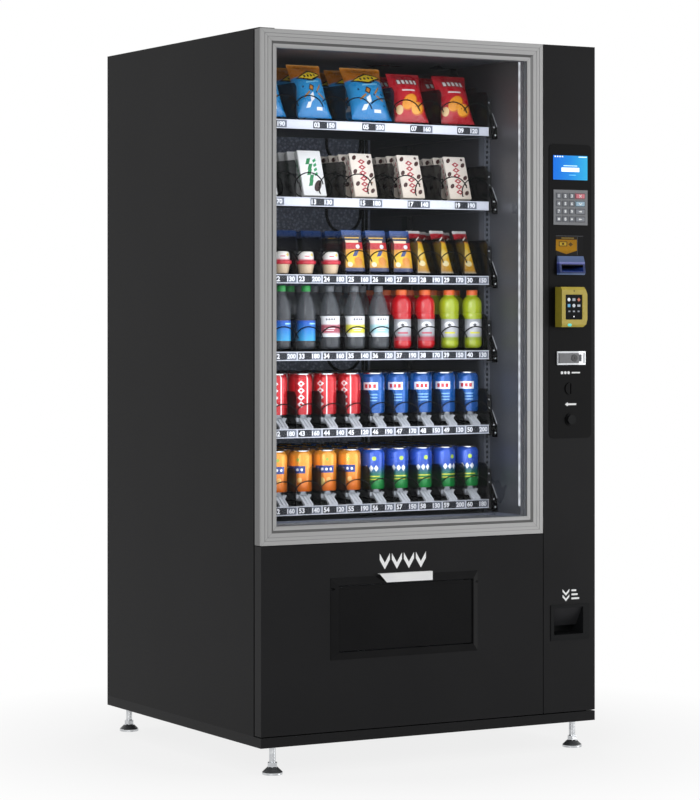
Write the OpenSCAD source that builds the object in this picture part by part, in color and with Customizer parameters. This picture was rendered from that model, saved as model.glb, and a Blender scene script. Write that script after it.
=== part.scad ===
/* [Cabinet] */
// Width of the machine
body_w = 1040; // [1000:1:1080]
// Depth from the door's front face to the back panel
body_d = 940; // [900:1:980]
// Height of the machine on its feet
body_h = 1930; // [1900:1:1960]
// Sheet thickness of the outer shell
sheet = 2; // [1.5:0.1:3]
// Width of the folded flange round the shell's front opening
flange = 18; // [12:1:24]
// Height of the plinth's underside above the floor
plinth_z = 74; // [60:1:90]
// Height of the plinth
plinth_h = 26; // [20:1:32]
// Thickness of the insulated side walls and ceiling
wall_t = 31.5; // [25:0.5:34]

/* [Feet] */
// Distance of each foot from the sides
foot_x = 52; // [40:1:70]
// Distance of each foot from the front and the back
foot_y = 35; // [30:1:50]
// Radius of a levelling stud
stud_r = 8.5; // [6:0.5:10]
// Radius of a foot's pad
pad_r = 27; // [22:0.5:32]
// Height of a foot's pad with its cone
pad_h = 20; // [14:1:24]

/* [Door] */
// Thickness of the door
door_t = 38.5; // [34:0.5:44]
// Gap between the closed door and the cabinet
door_gap = 2.5; // [2:0.1:4]
// Distance of the hinge axis from the door's left side
hinge_x = 7.5; // [7:0.1:8]
// Distance of the hinge axis from the door's front face
hinge_y = 25; // [24:0.1:26]
// Radius of the hinge pins
pin_r = 4; // [3:0.1:4.5]
// Left edge of the control column
column_x = 871; // [860:1:880]
// Upper edge of the lower panel
lower_top = 592.5; // [580:0.5:600]

/* [Window] */
// Width of the window frame's front face
face_w = 31; // [26:0.5:34]
// Width of the bevel inside the face
bevel_w = 7; // [5:0.5:9]
// Depth of the bevel
bevel_d = 5; // [3:0.5:6]
// Width of the inner lip
lip_w = 10; // [8:0.5:12]
// Wall thickness of the frame's profile
frame_wall = 3; // [2:0.1:3.5]
// Thickness of each glass pane
pane_t = 4; // [3:0.1:4]

/* [Control column] */
// Left edge of the raised fascia
fascia_x = 888; // [884:0.5:892]
// Width of the fascia
fascia_w = 139; // [130:0.5:142]
// Lower edge of the fascia
fascia_z = 852; // [840:1:860]
// Height of the fascia
fascia_h = 805; // [790:1:820]
// Corner radius of the fascia
fascia_r = 14; // [8:0.5:20]
// Height of the fascia above the column's sheet
fascia_t = 1.5; // [1:0.1:2]
// Distance by which the payment terminal stands proud
terminal_proud = 34; // [28:0.5:40]
// Radius of the coin boss
coin_boss_r = 17; // [14:0.5:20]
// Width of the coin slot
coin_slot_w = 3.4; // [2.6:0.1:3.8]
// Radius of the change button
button_r = 13; // [10:0.5:14]
// Travel of the change button
button_travel = 5; // [3:0.5:6]

/* [Column fittings] */
// Left edge of the display
display_x = 899.3; // [895:0.1:905]
// Lower edge of the display
display_z = 1558.3; // [1550:0.1:1565]
// Width of the display
display_w = 115.4; // [110:0.1:120]
// Height of the display
display_h = 68.9; // [60:0.1:75]
// Left edge of the keypad plate
keypad_x = 901.5; // [898:0.5:905]
// Lower edge of the keypad plate
keypad_z = 1436; // [1430:1:1442]
// Width of the keypad plate
keypad_w = 111.5; // [110:0.5:114]
// Height of the keypad plate
keypad_h = 96; // [94:0.5:98]
// Left edge of the bill acceptor
bill_x = 913.6; // [910:0.1:918]
// Lower edge of the bill acceptor
bill_z = 1299.5; // [1290:0.5:1310]
// Width of the bill acceptor
bill_w = 84.4; // [82:0.1:88]
// Left edge of the payment terminal
terminal_x = 908; // [900:1:912]
// Lower edge of the payment terminal
terminal_z = 1156.5; // [1150:0.5:1165]
// Distance of the coin slot from the machine's left side
coin_x = 957; // [950:1:965]
// Height of the coin slot
coin_z = 988; // [980:1:996]
// Distance of the change button from the machine's left side
button_x = 958; // [950:1:965]
// Height of the change button
button_z = 903; // [895:1:910]
// Left edge of the coin cup's bezel
cup_x = 893.4; // [890:0.1:896]
// Lower edge of the coin cup's bezel
cup_z = 300; // [295:1:305]

/* [Keypad] */
// Width of a small key
key_w = 16; // [14:0.1:16.4]
// Height of a key
key_h = 15.3; // [13:0.1:16]
// Width of a wide key
wide_key_w = 31.5; // [28:0.5:32]
// Distance between the key columns
key_pitch_x = 21.4; // [20:0.1:22]
// Distance between the key rows
key_pitch_z = 21.2; // [20:0.1:22]
// Gap round each key
key_gap = 0.35; // [0.2:0.05:0.5]
// Travel of a key
key_travel = 1.5; // [1:0.1:2]

/* [Delivery] */
// Left edge of the delivery frame
bay_x = 205; // [195:1:215]
// Width of the delivery frame
bay_w = 452.5; // [440:0.5:460]
// Lower edge of the delivery frame
bay_z = 289; // [280:1:300]
// Height of the delivery frame
bay_h = 214; // [200:1:220]
// Width of the frame's sloping border
bay_border = 20; // [16:0.5:24]
// Height of the border above the panel
bay_proud = 10; // [6:0.5:14]
// Thickness of the delivery flap
flap_t = 5; // [4:0.1:6]
// Wall thickness of the delivery bin
bin_t = 2.5; // [2:0.1:3]

/* [Trays] */
// Height of the uppermost tray's deck
tray_top_z = 1710; // [1700:1:1716]
// Distance between the trays
tray_pitch = 206.2; // [204:0.1:208]
// Left end of the trays
tray_x = 58; // [57:0.5:60]
// Distance between the lanes
lane = 75.6; // [75:0.1:75.8]
// Distance of the trays' front edge from the door's front face
tray_y = 190; // [188:1:196]
// Depth of the trays
tray_d = 608; // [600:1:612]
// Sheet thickness of the trays
tray_sheet = 2; // [1.5:0.1:2.5]
// Height of the front lip that carries the price strip
lip_h = 24; // [20:0.5:26]
// Depth of the price rail on the lip
rail_d = 4; // [3:0.1:4.5]
// Wall thickness of the price rail
rail_t = 1.4; // [1:0.1:1.6]
// Width of the latches at the tray's ends
latch_w = 18; // [12:0.5:19]
// Height of the dividers
divider_h = 100; // [80:1:110]

/* [Spirals] */
// Radius of a spiral's centre line
coil_r = 31; // [28:0.5:32]
// Radius of the spiral's wire
wire_r = 2; // [1.5:0.1:2.2]
// Number of turns
coil_turns = 6; // [4:1:7]
// Length of one turn
coil_pitch = 89; // [70:1:90]
// Height of the spiral's axis above the deck
coil_axis = 35.5; // [34:0.5:37]
// Radius of the hub on the motor's shaft
hub_r = 9; // [7:0.5:10]
// Height of the risers that carry cans
riser_h = 28; // [27.5:0.5:29]
// Width of a riser's deck
riser_w = 51; // [46:0.5:52]
// Thickness of a riser's deck
riser_t = 3; // [2:0.5:4]
// Width of a rib on a riser's ramp
rib_w = 5; // [3:0.5:6]

/* [Hidden] */
$fn = 48;
front_y = terminal_proud - (body_d + terminal_proud) / 2;
cab_y = door_t + door_gap;
shell_z = plinth_z + plinth_h;
door_z = shell_z + 3;
door_top = body_h - sheet - 0.8;
panel_d = door_t - 4.1;
pan_y = door_t - 4;
frame_x1 = column_x - 2.5;
frame_z = lower_top + 2.5;
frame_w = face_w + bevel_w + lip_w;
inner_x0 = 2.5 + wall_t;
inner_x1 = 838;
liner_x1 = 868;
inner_z0 = 640;
inner_z1 = body_h - 40;
inner_y1 = body_d - 50;
tray_x1 = tray_x + 10 * lane;
tray_y1 = tray_y + tray_d;
post_w = 18;
post_d = 30;
post_y = tray_y + 30;
post_step = 420;
post_z1 = tray_top_z + 80;
hook_pitch = 14.4;
cable_r = 4.5;
loop_x = 742;
loop_r = 58;
run_x = 812;
coil_y = tray_y - 19;
coil_y1 = coil_y + coil_turns * coil_pitch;
half_chord = sqrt(coil_r * coil_r + coil_pitch * coil_pitch / 16);
arc_r = (half_chord * half_chord + coil_r * coil_r) / (2 * coil_r);
arc_half = asin(half_chord / arc_r);
sleeve_r = wire_r + 0.6;
sleeve_h = 3;
coil_line = [for (a = [0 : 30 : 360 * coil_turns]) [coil_r * cos(a), coil_pitch * a / 360, coil_r * sin(a)]];
coil_last = len(coil_line) - 1;
coil_gap = min([for (i = [0 : coil_last]) for (j = [i + 6 : 1 : coil_last])
  norm(coil_line[i] - coil_line[j])]) - 2 * sleeve_r;
ramp_y1 = tray_y + 57;
riser_under = 12;
skirt_z = 17;
skirt_w = 40;
rib_pitch = 10.5;
flap_axis_z = bay_z + bay_h - bay_border - 9;
flap_axis_y = -3.5;
key_stem = 4.2;
board_y = key_stem + key_travel + 0.3;
key_x0 = keypad_x + 7.5;
key_z0 = keypad_z + keypad_h - 9;
tab_t = 1.3;
tab_z = 485.5;
tab_h = 23.5;
fan_x = 600;
fan_z = 262;
fan_y = 752;
lock_axis_x = 919;
lock_z = 1071.5;
gap = 0.1;

echo(least_gap_of_a_spiral_to_itself = coil_gap);

// Moves from the corner of the door's lower left front edge to the centre of the machine.
module in_frame() {
  translate([-body_w / 2, front_y, 0]) children();
}

// A box between two opposite corners.
module slab(a, b) {
  translate(a) cube(b - a);
}

// Runs a (y, z) outline along x.
module along_x(x0, x1) {
  translate([x0, 0, 0]) rotate([90, 0, 90]) linear_extrude(x1 - x0) children();
}

// Runs an (x, z) outline along y.
module along_y(y0, y1) {
  translate([0, y1, 0]) rotate([90, 0, 0]) linear_extrude(y1 - y0) children();
}

// A cylinder along y that starts at a point.
module rod_y(p, r, len) {
  translate(p) rotate([-90, 0, 0]) cylinder(r = r, h = len);
}

// A cylinder along x that starts at a point.
module rod_x(p, r, len) {
  translate(p) rotate([0, 90, 0]) cylinder(r = r, h = len);
}

// A flat (x, z) plate with rounded corners.
module round_plate(x0, z0, x1, z1, y0, y1, r) {
  slab([x0 + r, y0, z0], [x1 - r, y1, z1]);
  slab([x0, y0, z0 + r], [x1, y1, z1 - r]);
  for (x = [x0 + r, x1 - r])
    for (z = [z0 + r, z1 - r])
      rod_y([x, y0, z], r, y1 - y0);
}

// A rectangular ring in the (x, z) plane.
module ring(x0, z0, x1, z1, w, y0, y1) {
  difference() {
    slab([x0, y0, z0], [x1, y1, z1]);
    slab([x0 + w, y0 - 1, z0 + w], [x1 - w, y1 + 1, z1 - w]);
  }
}

// A pan: a front sheet with four folded edges.
module pan(x0, z0, x1, z1, depth) {
  difference() {
    slab([x0, 0, z0], [x1, depth, z1]);
    slab([x0 + sheet, sheet, z0 + sheet], [x1 - sheet, depth + 1, z1 - sheet]);
  }
}

// Four mitred members of a border; the children give its (inward, y) section.
module mitred(x0, z0, x1, z1, w, y0, y1) {
  intersection() {
    translate([x0, 0, z0]) linear_extrude(z1 - z0) children();
    along_y(y0, y1) polygon([[x0, z0], [x0 + w, z0 + w], [x0 + w, z1 - w], [x0, z1]]);
  }
  intersection() {
    translate([x1, 0, z0]) mirror([1, 0, 0]) linear_extrude(z1 - z0) children();
    along_y(y0, y1) polygon([[x1, z0], [x1 - w, z0 + w], [x1 - w, z1 - w], [x1, z1]]);
  }
  intersection() {
    translate([x1, 0, z0]) rotate([0, -90, 0]) linear_extrude(x1 - x0) children();
    along_y(y0, y1) polygon([[x0, z0], [x0 + w, z0 + w], [x1 - w, z0 + w], [x1, z0]]);
  }
  intersection() {
    translate([x0, 0, z1]) rotate([0, 90, 0]) linear_extrude(x1 - x0) children();
    along_y(y0, y1) polygon([[x0, z1], [x0 + w, z1 - w], [x1 - w, z1 - w], [x1, z1]]);
  }
}

// Deck height of a tray, counted from the top.
function deck(i) = tray_top_z - (i - 1) * tray_pitch;

// Middle of a lane, counted from the left.
function lane_x(k) = tray_x + (k - 0.5) * lane;

// Outer shell of the cabinet with the upper hinge tab and the rear vents.
module cabinet_shell() {
  color("#2a2a2c") in_frame() {
    difference() {
      slab([0, cab_y, shell_z], [body_w, body_d, body_h]);
      slab([sheet, cab_y + sheet, shell_z - 1], [body_w - sheet, body_d - sheet, body_h - sheet]);
      slab([flange, cab_y - 1, shell_z - 1], [body_w - flange, cab_y + sheet + 1, body_h - flange]);
      for (row = [0 : 11])
        for (x = [330, 540, 750])
          round_plate(x - 85, 150 + row * 24, x + 85, 160 + row * 24, body_d - 5, body_d + 1, 4.9);
      slab([931, body_d - 5, 181], [979, body_d + 1, 214]);
    }
    slab([0, hinge_y - 15, body_h - sheet], [45, cab_y + 1, body_h]);
    translate([hinge_x, hinge_y, body_h - sheet - 20]) cylinder(r = pin_r, h = 21);
  }
}

// Insulated compartment: side walls, ceiling, back, tray floor and the sill under the door.
module insulated_liner() {
  color("#3a3d42") in_frame() {
    y0 = cab_y + sheet + 0.2;
    y1 = body_d - sheet - 0.5;
    z1 = body_h - sheet - 0.5;
    slab([2.5, y0, shell_z + 0.5], [inner_x0, y1, z1]);
    slab([inner_x1, y0, shell_z + 0.5], [liner_x1, y1, z1]);
    slab([2.5, y0, inner_z1], [liner_x1, y1, z1]);
    slab([2.5, inner_y1, inner_z0 - 40], [liner_x1, y1, z1]);
    slab([2.5, tray_y + 5, inner_z0 - 40], [liner_x1, y1, inner_z0]);
    slab([2.5, y0, shell_z + 0.5], [liner_x1, y0 + 32, shell_z + 28]);
  }
}

// Plinth with corner blocks for the studs and the lower hinge pin.
module base_plinth() {
  color("#262628") in_frame() {
    difference() {
      union() {
        difference() {
          slab([0, 0, plinth_z], [body_w, body_d, shell_z]);
          slab([3, 3, plinth_z + 3], [body_w - 3, body_d - 3, shell_z + 1]);
        }
        for (x = [2, body_w - 92])
          for (y = [2, body_d - 72])
            slab([x, y, plinth_z + 1], [x + 90, y + 70, shell_z]);
        for (x = [330, 680])
          slab([x, 2, plinth_z + 1], [x + 30, body_d - 2, shell_z]);
      }
      for (x = [foot_x, body_w - foot_x])
        for (y = [foot_y, body_d - foot_y])
          translate([x, y, plinth_z - 1]) cylinder(r = stud_r + 0.06, h = plinth_h + 2);
    }
    translate([hinge_x, hinge_y, shell_z - 2]) cylinder(r = pin_r, h = 22);
  }
}

// Four levelling feet: pad, spanner hexagon and stud.
module levelling_feet() {
  color("#b9bbbe") in_frame()
    for (x = [foot_x, body_w - foot_x])
      for (y = [foot_y, body_d - foot_y])
        translate([x, y, 0]) {
          rotate_extrude() polygon([[0, 0], [pad_r - 1, 0], [pad_r, 1], [pad_r, 6], [pad_r - 2, 8],
            [stud_r + 4, pad_h], [0, pad_h]]);
          translate([0, 0, pad_h - 1]) cylinder(r = 13.8, h = 12, $fn = 6);
          translate([0, 0, pad_h]) cylinder(r = stud_r, h = shell_z - pad_h - 3);
        }
}

// One upright: a channel open towards the wall, with hook slots in its front.
module upright(x0, y0, wall_x, pitch) {
  difference() {
    slab([x0, y0, inner_z0], [x0 + post_w, y0 + post_d, post_z1]);
    slab([wall_x - 16, y0 + 2, inner_z0 + 6], [wall_x + 16, y0 + post_d - 2, post_z1 - 6]);
    for (z = [inner_z0 + 20 : pitch : post_z1 - 20])
      slab([x0 + 6, y0 - 1, z], [x0 + 12, y0 + 3, z + 8]);
  }
}

// Uprights on the side walls and the ledges that the trays run on.
module tray_uprights() {
  color("#9a9da1") in_frame() {
    for (k = [1, 2]) {
      y = post_y + (k - 1) * post_step;
      upright(inner_x0, y, inner_x0, k * hook_pitch);
      upright(inner_x1 - post_w, y, inner_x1, k * hook_pitch);
    }
    for (i = [1 : 6]) {
      slab([inner_x0 + post_w + gap, tray_y + 30, deck(i) - lip_h - 0.4], [tray_x - 3, tray_y1, deck(i) - 4]);
      slab([inner_x0 + post_w + gap, tray_y + 30, deck(i) - lip_h - 2.4],
        [tray_x + 8, tray_y1, deck(i) - lip_h - 0.4]);
      slab([tray_x1 + 3, tray_y + 30, deck(i) - lip_h - 0.4],
        [inner_x1 - post_w - gap, tray_y1, deck(i) - 4]);
      slab([tray_x1 - 8, tray_y + 30, deck(i) - lip_h - 2.4],
        [inner_x1 - post_w - gap, tray_y1, deck(i) - lip_h - 0.4]);
    }
  }
}

// Refrigeration set in the base: compressor, condenser with fan cowl, pipes and drip tray.
module cooling_unit() {
  color("#4a4c50") in_frame() {
    z0 = shell_z + 3;
    slab([60, 300, z0], [820, 920, z0 + 4]);
    translate([230, 640, z0 + 3]) {
      cylinder(r = 105, h = 9);
      rotate_extrude() polygon([[0, 0], [82, 0], [86, 12], [86, 100], [84, 101], [84, 108], [80, 130],
        [60, 158], [30, 172], [0, 176]]);
    }
    difference() {
      slab([430, 810, z0 + 3], [770, 880, z0 + 310]);
      for (x = [448 : 18 : 752])
        slab([x - 6, 805, z0 + 14], [x + 6, 870, z0 + 300]);
    }
    difference() {
      slab([430, 786, z0 + 3], [770, 811, z0 + 310]);
      rod_y([fan_x, 780, fan_z], 128, 40);
    }
    slab([430, 690, z0 + 3], [440, 811, z0 + 20]);
    slab([760, 690, z0 + 3], [770, 811, z0 + 20]);
    slab([590, 690, z0 + 3], [610, 720, fan_z - 20]);
    rod_y([fan_x, 690, fan_z], 34, 48);
    rod_y([fan_x, 735, fan_z], 4, 46);
    rod_x([300, 640, z0 + 90], 5, 140);
    translate([436, 640, z0 + 85]) rotate([-90, 0, 0]) cylinder(r = 5, h = 180);
    slab([120, 380, z0 + 3], [420, 500, z0 + 40]);
  }
}

// Condenser fan on the motor's shaft.
module cooling_fan() {
  color("#1d1e20") in_frame() translate([fan_x, fan_y, fan_z]) {
    difference() {
      rod_y([0, 0, 0], 26, 24);
      rod_y([0, -1, 0], 4.05, 26);
    }
    for (k = [0 : 4])
      rotate([0, k * 72, 0]) translate([22, 12, 0]) rotate([28, 0, 0]) slab([0, -1.2, -24], [92, 1.2, 24]);
  }
}

// Cables on the back wall: loops behind three of the trays, two straight runs and the mains inlet.
module wiring_loom() {
  color("#141416") in_frame() {
    for (i = [1, 2, 4]) {
      z = deck(i) - 12;
      translate([loop_x, inner_y1 - 12, z + 1]) rotate([-90, 0, 0]) rotate_extrude(angle = 180)
        translate([loop_r, 0]) circle(cable_r - 0.2);
      for (x = [loop_x - loop_r, loop_x + loop_r])
        translate([x, inner_y1 - 12, z]) cylinder(r = cable_r, h = 50);
      slab([loop_x - loop_r - 6, inner_y1 - 23, z + 42], [loop_x + loop_r + 6, inner_y1, z + 56]);
    }
    for (x = [run_x, run_x + 12])
      translate([x, inner_y1 - 6, inner_z0 + 15]) cylinder(r = cable_r, h = inner_z1 - inner_z0 - 30);
    slab([run_x - 7, inner_y1 - 23, inner_z1 - 40], [run_x + 19, inner_y1, inner_z1 - 12]);
    difference() {
      slab([932, body_d - 24, 182], [978, body_d - 1, 213]);
      slab([938, body_d - 18, 188], [972, body_d, 207]);
    }
    for (x = [946, 955, 964])
      slab([x - 1, body_d - 19, x == 955 ? 199 : 192], [x + 1, body_d - 5, x == 955 ? 204 : 197]);
  }
}

// Rear plate of the door with its hinge blocks.
module door_pan() {
  color("#303134") in_frame()
    difference() {
      union() {
        slab([3.2, pan_y, door_z + 3], [body_w - 3, door_t, door_top - 3.2]);
        slab([3.2, hinge_y - 11, door_z + 2.2], [20, pan_y + 1, door_z + 24]);
        slab([3.2, hinge_y - 11, door_top - 26], [20, pan_y + 1, door_top - 3.2]);
      }
      slab([frame_w + 2, pan_y - 1, frame_z + frame_w], [frame_x1 - frame_w, door_t + 1, door_top - frame_w]);
      slab([bay_x + 14, pan_y - 1, bay_z + 14], [bay_x + bay_w - 14, door_t + 1, bay_z + bay_h - 14]);
      slab([893, pan_y - 1, 250], [1020, door_t + 1, 1690]);
      translate([hinge_x, hinge_y, door_z]) cylinder(r = pin_r + 0.05, h = door_top - door_z);
    }
}

// Aluminium window frame: grooved face, bevel and lip, mitred at the corners.
module window_frame() {
  color("#a9abad") in_frame()
    difference() {
      mitred(0, frame_z, frame_x1, door_top, frame_w, -1, door_t + 1)
        polygon([[0, 0], [10.5, 0], [10.5, 0.8], [11.7, 0.8], [11.7, 0], [19.5, 0], [19.5, 0.8], [20.7, 0.8],
          [20.7, 0], [face_w, 0], [face_w + bevel_w, bevel_d], [frame_w, bevel_d],
          [frame_w, bevel_d + frame_wall], [face_w + bevel_w - 1, bevel_d + frame_wall],
          [face_w - 1, frame_wall], [frame_wall, frame_wall], [frame_wall, panel_d], [0, panel_d]]);
      translate([hinge_x, hinge_y, door_top - 10]) cylinder(r = pin_r + 0.8, h = 12);
    }
}

// Double glazing.
module window_glass() {
  color("#cfe0e4", 0.35) in_frame()
    for (y = [9.2, 25.4 - pane_t])
      slab([frame_w - 8, y, frame_z + frame_w - 8],
        [frame_x1 - frame_w + 8, y + pane_t, door_top - frame_w + 8]);
}

// Rubber: glazing strips, pane spacer and the seal behind the door.
module door_gasket() {
  color("#18181a") in_frame() {
    g = frame_w - 8;
    ring(g, frame_z + g, frame_x1 - g, door_top - g, 7, 8.1, 9.1);
    ring(g, frame_z + g, frame_x1 - g, door_top - g, 7.5, 9.3 + pane_t, 25.3 - pane_t);
    ring(g, frame_z + g, frame_x1 - g, door_top - g, 8, 25.5, pan_y - 0.1);
    ring(20, shell_z + 8, 858, inner_z1 + 16, 12, door_t, cab_y + sheet);
  }
}

// Lower door panel.
module lower_panel() {
  color("#2a2a2c") in_frame()
    difference() {
      pan(0, door_z, frame_x1, lower_top, panel_d);
      slab([bay_x + 16, -1, bay_z + 16], [bay_x + bay_w - 16, sheet + 1, bay_z + bay_h - 16]);
      translate([hinge_x, hinge_y, door_z - 1]) cylinder(r = pin_r + 0.8, h = 4);
    }
}

// An opening through the column's sheet and fascia.
module cut_out(x, z, w, h) {
  slab([x, -6, z], [x + w, 5, z + h]);
}

// Column on the right of the door with the raised fascia, the coin boss and the button's collar.
module control_column() {
  color("#2a2a2c") in_frame()
    difference() {
      union() {
        pan(column_x, door_z, body_w, door_top, panel_d);
        round_plate(fascia_x, fascia_z, fascia_x + fascia_w, fascia_z + fascia_h, -fascia_t, 0.5, fascia_r);
        rod_y([coin_x, -fascia_t - 3, coin_z], coin_boss_r, 3.5);
        rod_y([button_x, -fascia_t - 2.5, button_z], button_r + 4.5, 3);
      }
      cut_out(display_x - 0.3, display_z - 0.3, display_w + 0.6, display_h + 0.6);
      cut_out(keypad_x + 3, keypad_z + 3, keypad_w - 6, keypad_h - 6);
      cut_out(bill_x + 4.4, bill_z + 3.5, bill_w - 8.4, 44);
      cut_out(coin_x - coin_slot_w / 2, coin_z - 14.5, coin_slot_w, 29);
      rod_y([button_x, -6, button_z], button_r + 0.3, 11);
      cut_out(lock_axis_x + 8, lock_z - 13, 70, 26);
      cut_out(cup_x + 6.6, cup_z + 11.5, 103, 81);
    }
}

// Display module with the controller's housing behind it.
module display() {
  color("#111418") in_frame() {
    translate([display_x, 0, display_z]) {
      difference() {
        slab([0, -2.4, 0], [display_w, 6, display_h]);
        slab([3.7, -3, 3.7], [display_w - 3.7, -1.6, display_h - 3.7]);
      }
      slab([6.7, 5.5, 6.7], [display_w - 6.7, 45, display_h - 7.2]);
      slab([-2.3, 44, -108.3], [display_w - 6.7, 84, display_h + 12.8]);
    }
  }
}

// Left edge of a key column.
function key_left(c) = c < 4 ? key_x0 + (c - 1) * key_pitch_x : key_x0 + 3 * key_pitch_x - 0.9;

// Width of a key.
function key_width(c) = c < 4 ? key_w : wide_key_w;

// Keypad plate with its contact board on four posts.
module keypad_plate() {
  color("#8d9095") in_frame() {
    difference() {
      slab([keypad_x, -fascia_t - 2.5, keypad_z], [keypad_x + keypad_w, -fascia_t, keypad_z + keypad_h]);
      for (r = [1 : 4])
        for (c = [1 : 4])
          slab([key_left(c) - key_gap, -9, key_z0 - (r - 1) * key_pitch_z - key_h - key_gap],
            [key_left(c) + key_width(c) + key_gap, 2, key_z0 - (r - 1) * key_pitch_z + key_gap]);
    }
    slab([keypad_x + 3.5, board_y, keypad_z + 3.5],
      [keypad_x + keypad_w - 3.5, board_y + 1.6, keypad_z + keypad_h - 3.5]);
    for (x = [keypad_x + 5.3, keypad_x + keypad_w - 5.3])
      for (z = [keypad_z + 5.3, keypad_z + keypad_h - 5.3])
        rod_y([x, -fascia_t - 1, z], 1.4, board_y + fascia_t + 1.8);
  }
}

// One key: a cap with a retaining flange behind the plate.
module key_cap(r, c) {
  x = key_left(c);
  z = key_z0 - (r - 1) * key_pitch_z;
  color(c < 4 || r > 2 ? "#a4a7ab" : (r == 1 ? "#b03a32" : "#3d6fa8")) in_frame() {
    slab([x, -fascia_t - 4.5, z - key_h], [x + key_width(c), 1.2, z]);
    slab([x - 1, -fascia_t + 0.2, z - key_h - 1], [x + key_width(c) + 1, 1.2, z + 1]);
    slab([x + 5, 0, z - key_h + 5], [x + key_width(c) - 5, key_stem, z - 5]);
  }
}

// Bill acceptor: mouth with two lips, throat and the validator's housing.
module bill_acceptor() {
  color("#2f62b5") in_frame() translate([bill_x, 0, bill_z])
    difference() {
      union() {
        along_x(0, bill_w) polygon([[-fascia_t, 0], [-fascia_t, 51.2], [-6, 51.2], [-13, 34.5], [-13, 29.5],
          [-17, 6.5], [-12, 0]]);
        slab([5.4, -fascia_t - 0.5, 4.5], [bill_w - 5, 45, 46.5]);
        slab([-8.6, 44, -9.5], [bill_w + 7, 112, 125.5]);
      }
      along_x(6.9, bill_w - 7) polygon([[-20, 28.5], [-20, 7.5], [-6, 14], [60, 15.5], [60, 21.5], [-6, 23]]);
    }
}

// Coin changer behind the column: housing, tubes and the pay-out chute.
module coin_changer() {
  color("#34363a") in_frame()
    difference() {
      union() {
        slab([894, 44, 640], [1004, 118, 1012]);
        slab([928, 44, 396], [986, 84, 641]);
        for (x = [908 : 20.5 : 992])
          translate([x, 118, 660]) cylinder(r = 9, h = 250);
        slab([930, 7, 968], [984, 45, 1008]);
      }
      slab([932, 48, 395], [982, 80, 700]);
      slab([coin_x - coin_slot_w / 2, 6, coin_z - 16], [coin_x + coin_slot_w / 2, 100, coin_z + 16]);
    }
}

// Payment terminal with a recessed screen.
module payment_terminal() {
  color("#a59a2c") in_frame() translate([terminal_x, 0, terminal_z])
    difference() {
      intersection() {
        along_y(-terminal_proud, -fascia_t) polygon([[0, 0], [72, 0], [80, 7.5], [84, 21.5], [84, 89.5],
          [76, 109.5], [0, 109.5]]);
        along_x(-8, 92) polygon([[-fascia_t, -6.5], [-fascia_t, 113.5], [-27, 113.5],
          [-terminal_proud, 101.5], [-terminal_proud, 6.5], [6 - terminal_proud, -6.5]]);
      }
      slab([12, -terminal_proud - 1, 19.5], [68, 1.2 - terminal_proud, 89.5]);
    }
}

// Lock plate with the paddle's recess.
module lock_plate() {
  color("#9b9ea2") in_frame()
    difference() {
      union() {
        slab([912, -fascia_t - 5, lock_z - 18.5], [1005, -fascia_t, lock_z + 18.5]);
        slab([928, -fascia_t - 0.5, lock_z - 12.5], [996, 30, lock_z + 12.5]);
      }
      slab([914.5, -10, lock_z - 14], [1002.5, -fascia_t - 1, lock_z + 14]);
      translate([lock_axis_x, -fascia_t - 3, lock_z - 17]) cylinder(r = 1.45, h = 34);
      slab([982, -10, lock_z - 9.5], [994.5, 20, lock_z + 9.5]);
    }
}

// Lock paddle with its trunnions and the key cylinder.
module lock_handle() {
  color("#b4b6b9") in_frame()
    difference() {
      union() {
        slab([lock_axis_x + 1, -fascia_t - 5, lock_z - 13.4], [983, -fascia_t - 1.6, lock_z + 13.4]);
        translate([lock_axis_x, -fascia_t - 3, lock_z - 13.4]) cylinder(r = 1.8, h = 26.8);
        translate([lock_axis_x, -fascia_t - 3, lock_z - 16.5]) cylinder(r = 1.4, h = 33);
        rod_y([967.7, -fascia_t - 6.5, lock_z], 9.5, 3);
      }
      slab([967, -fascia_t - 8, lock_z - 4], [968.4, -fascia_t - 3, lock_z + 4]);
    }
}

// Change button with a collar behind the column's sheet.
module change_button() {
  color("#c4c6c8") in_frame() {
    rod_y([button_x, -fascia_t - 3.5 - button_travel, button_z], button_r, 14);
    rod_y([button_x, 2.2, button_z], button_r + 3, 2);
  }
}

// Coin return cup: bezel, sloping back and the pocket at the bottom.
module coin_cup() {
  color("#1c1d1f") in_frame() translate([cup_x, 0, cup_z])
    difference() {
      union() {
        slab([0, -2.5, 0], [126.6, 0, 97]);
        slab([7.1, -0.5, 12], [109.1, 62, 92]);
      }
      along_x(10.1, 106.1) polygon([[-5, 15], [-5, 89], [2, 89], [34, 36], [58, 36], [58, 15.5], [8, 15]]);
      slab([40.6, 40, 30], [86.6, 57, 93]);
    }
}

// Delivery frame: sloping border, the tunnel through the door and the white tab over its upper edge.
module delivery_frame() {
  b = bay_border;
  color("#141416") in_frame()
    difference() {
      mitred(bay_x, bay_z, bay_x + bay_w, bay_z + bay_h, b, -bay_proud - 1, door_t + 1)
        polygon([[0, 0], [0, -1.5], [b - 3, -bay_proud], [b, -bay_proud], [b, door_t], [b - 3, door_t],
          [b - 3, 0]]);
      rod_x([bay_x, flap_axis_y, flap_axis_z], 3.05, bay_w);
    }
  color("#f0f0ee") in_frame() intersection() {
    along_y(-bay_proud - tab_t - 1, 0) polygon([[347, tab_z + tab_h], [369, tab_z], [510, tab_z],
      [510, tab_z + tab_h]]);
    along_x(340, 520) polygon([[-bay_proud - tab_t, tab_z], [-bay_proud - gap, tab_z],
      [-bay_proud - gap, tab_z + tab_h - tab_t], [-gap, tab_z + tab_h - tab_t], [-gap, tab_z + tab_h],
      [-bay_proud - tab_t, tab_z + tab_h]]);
  }
}

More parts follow.
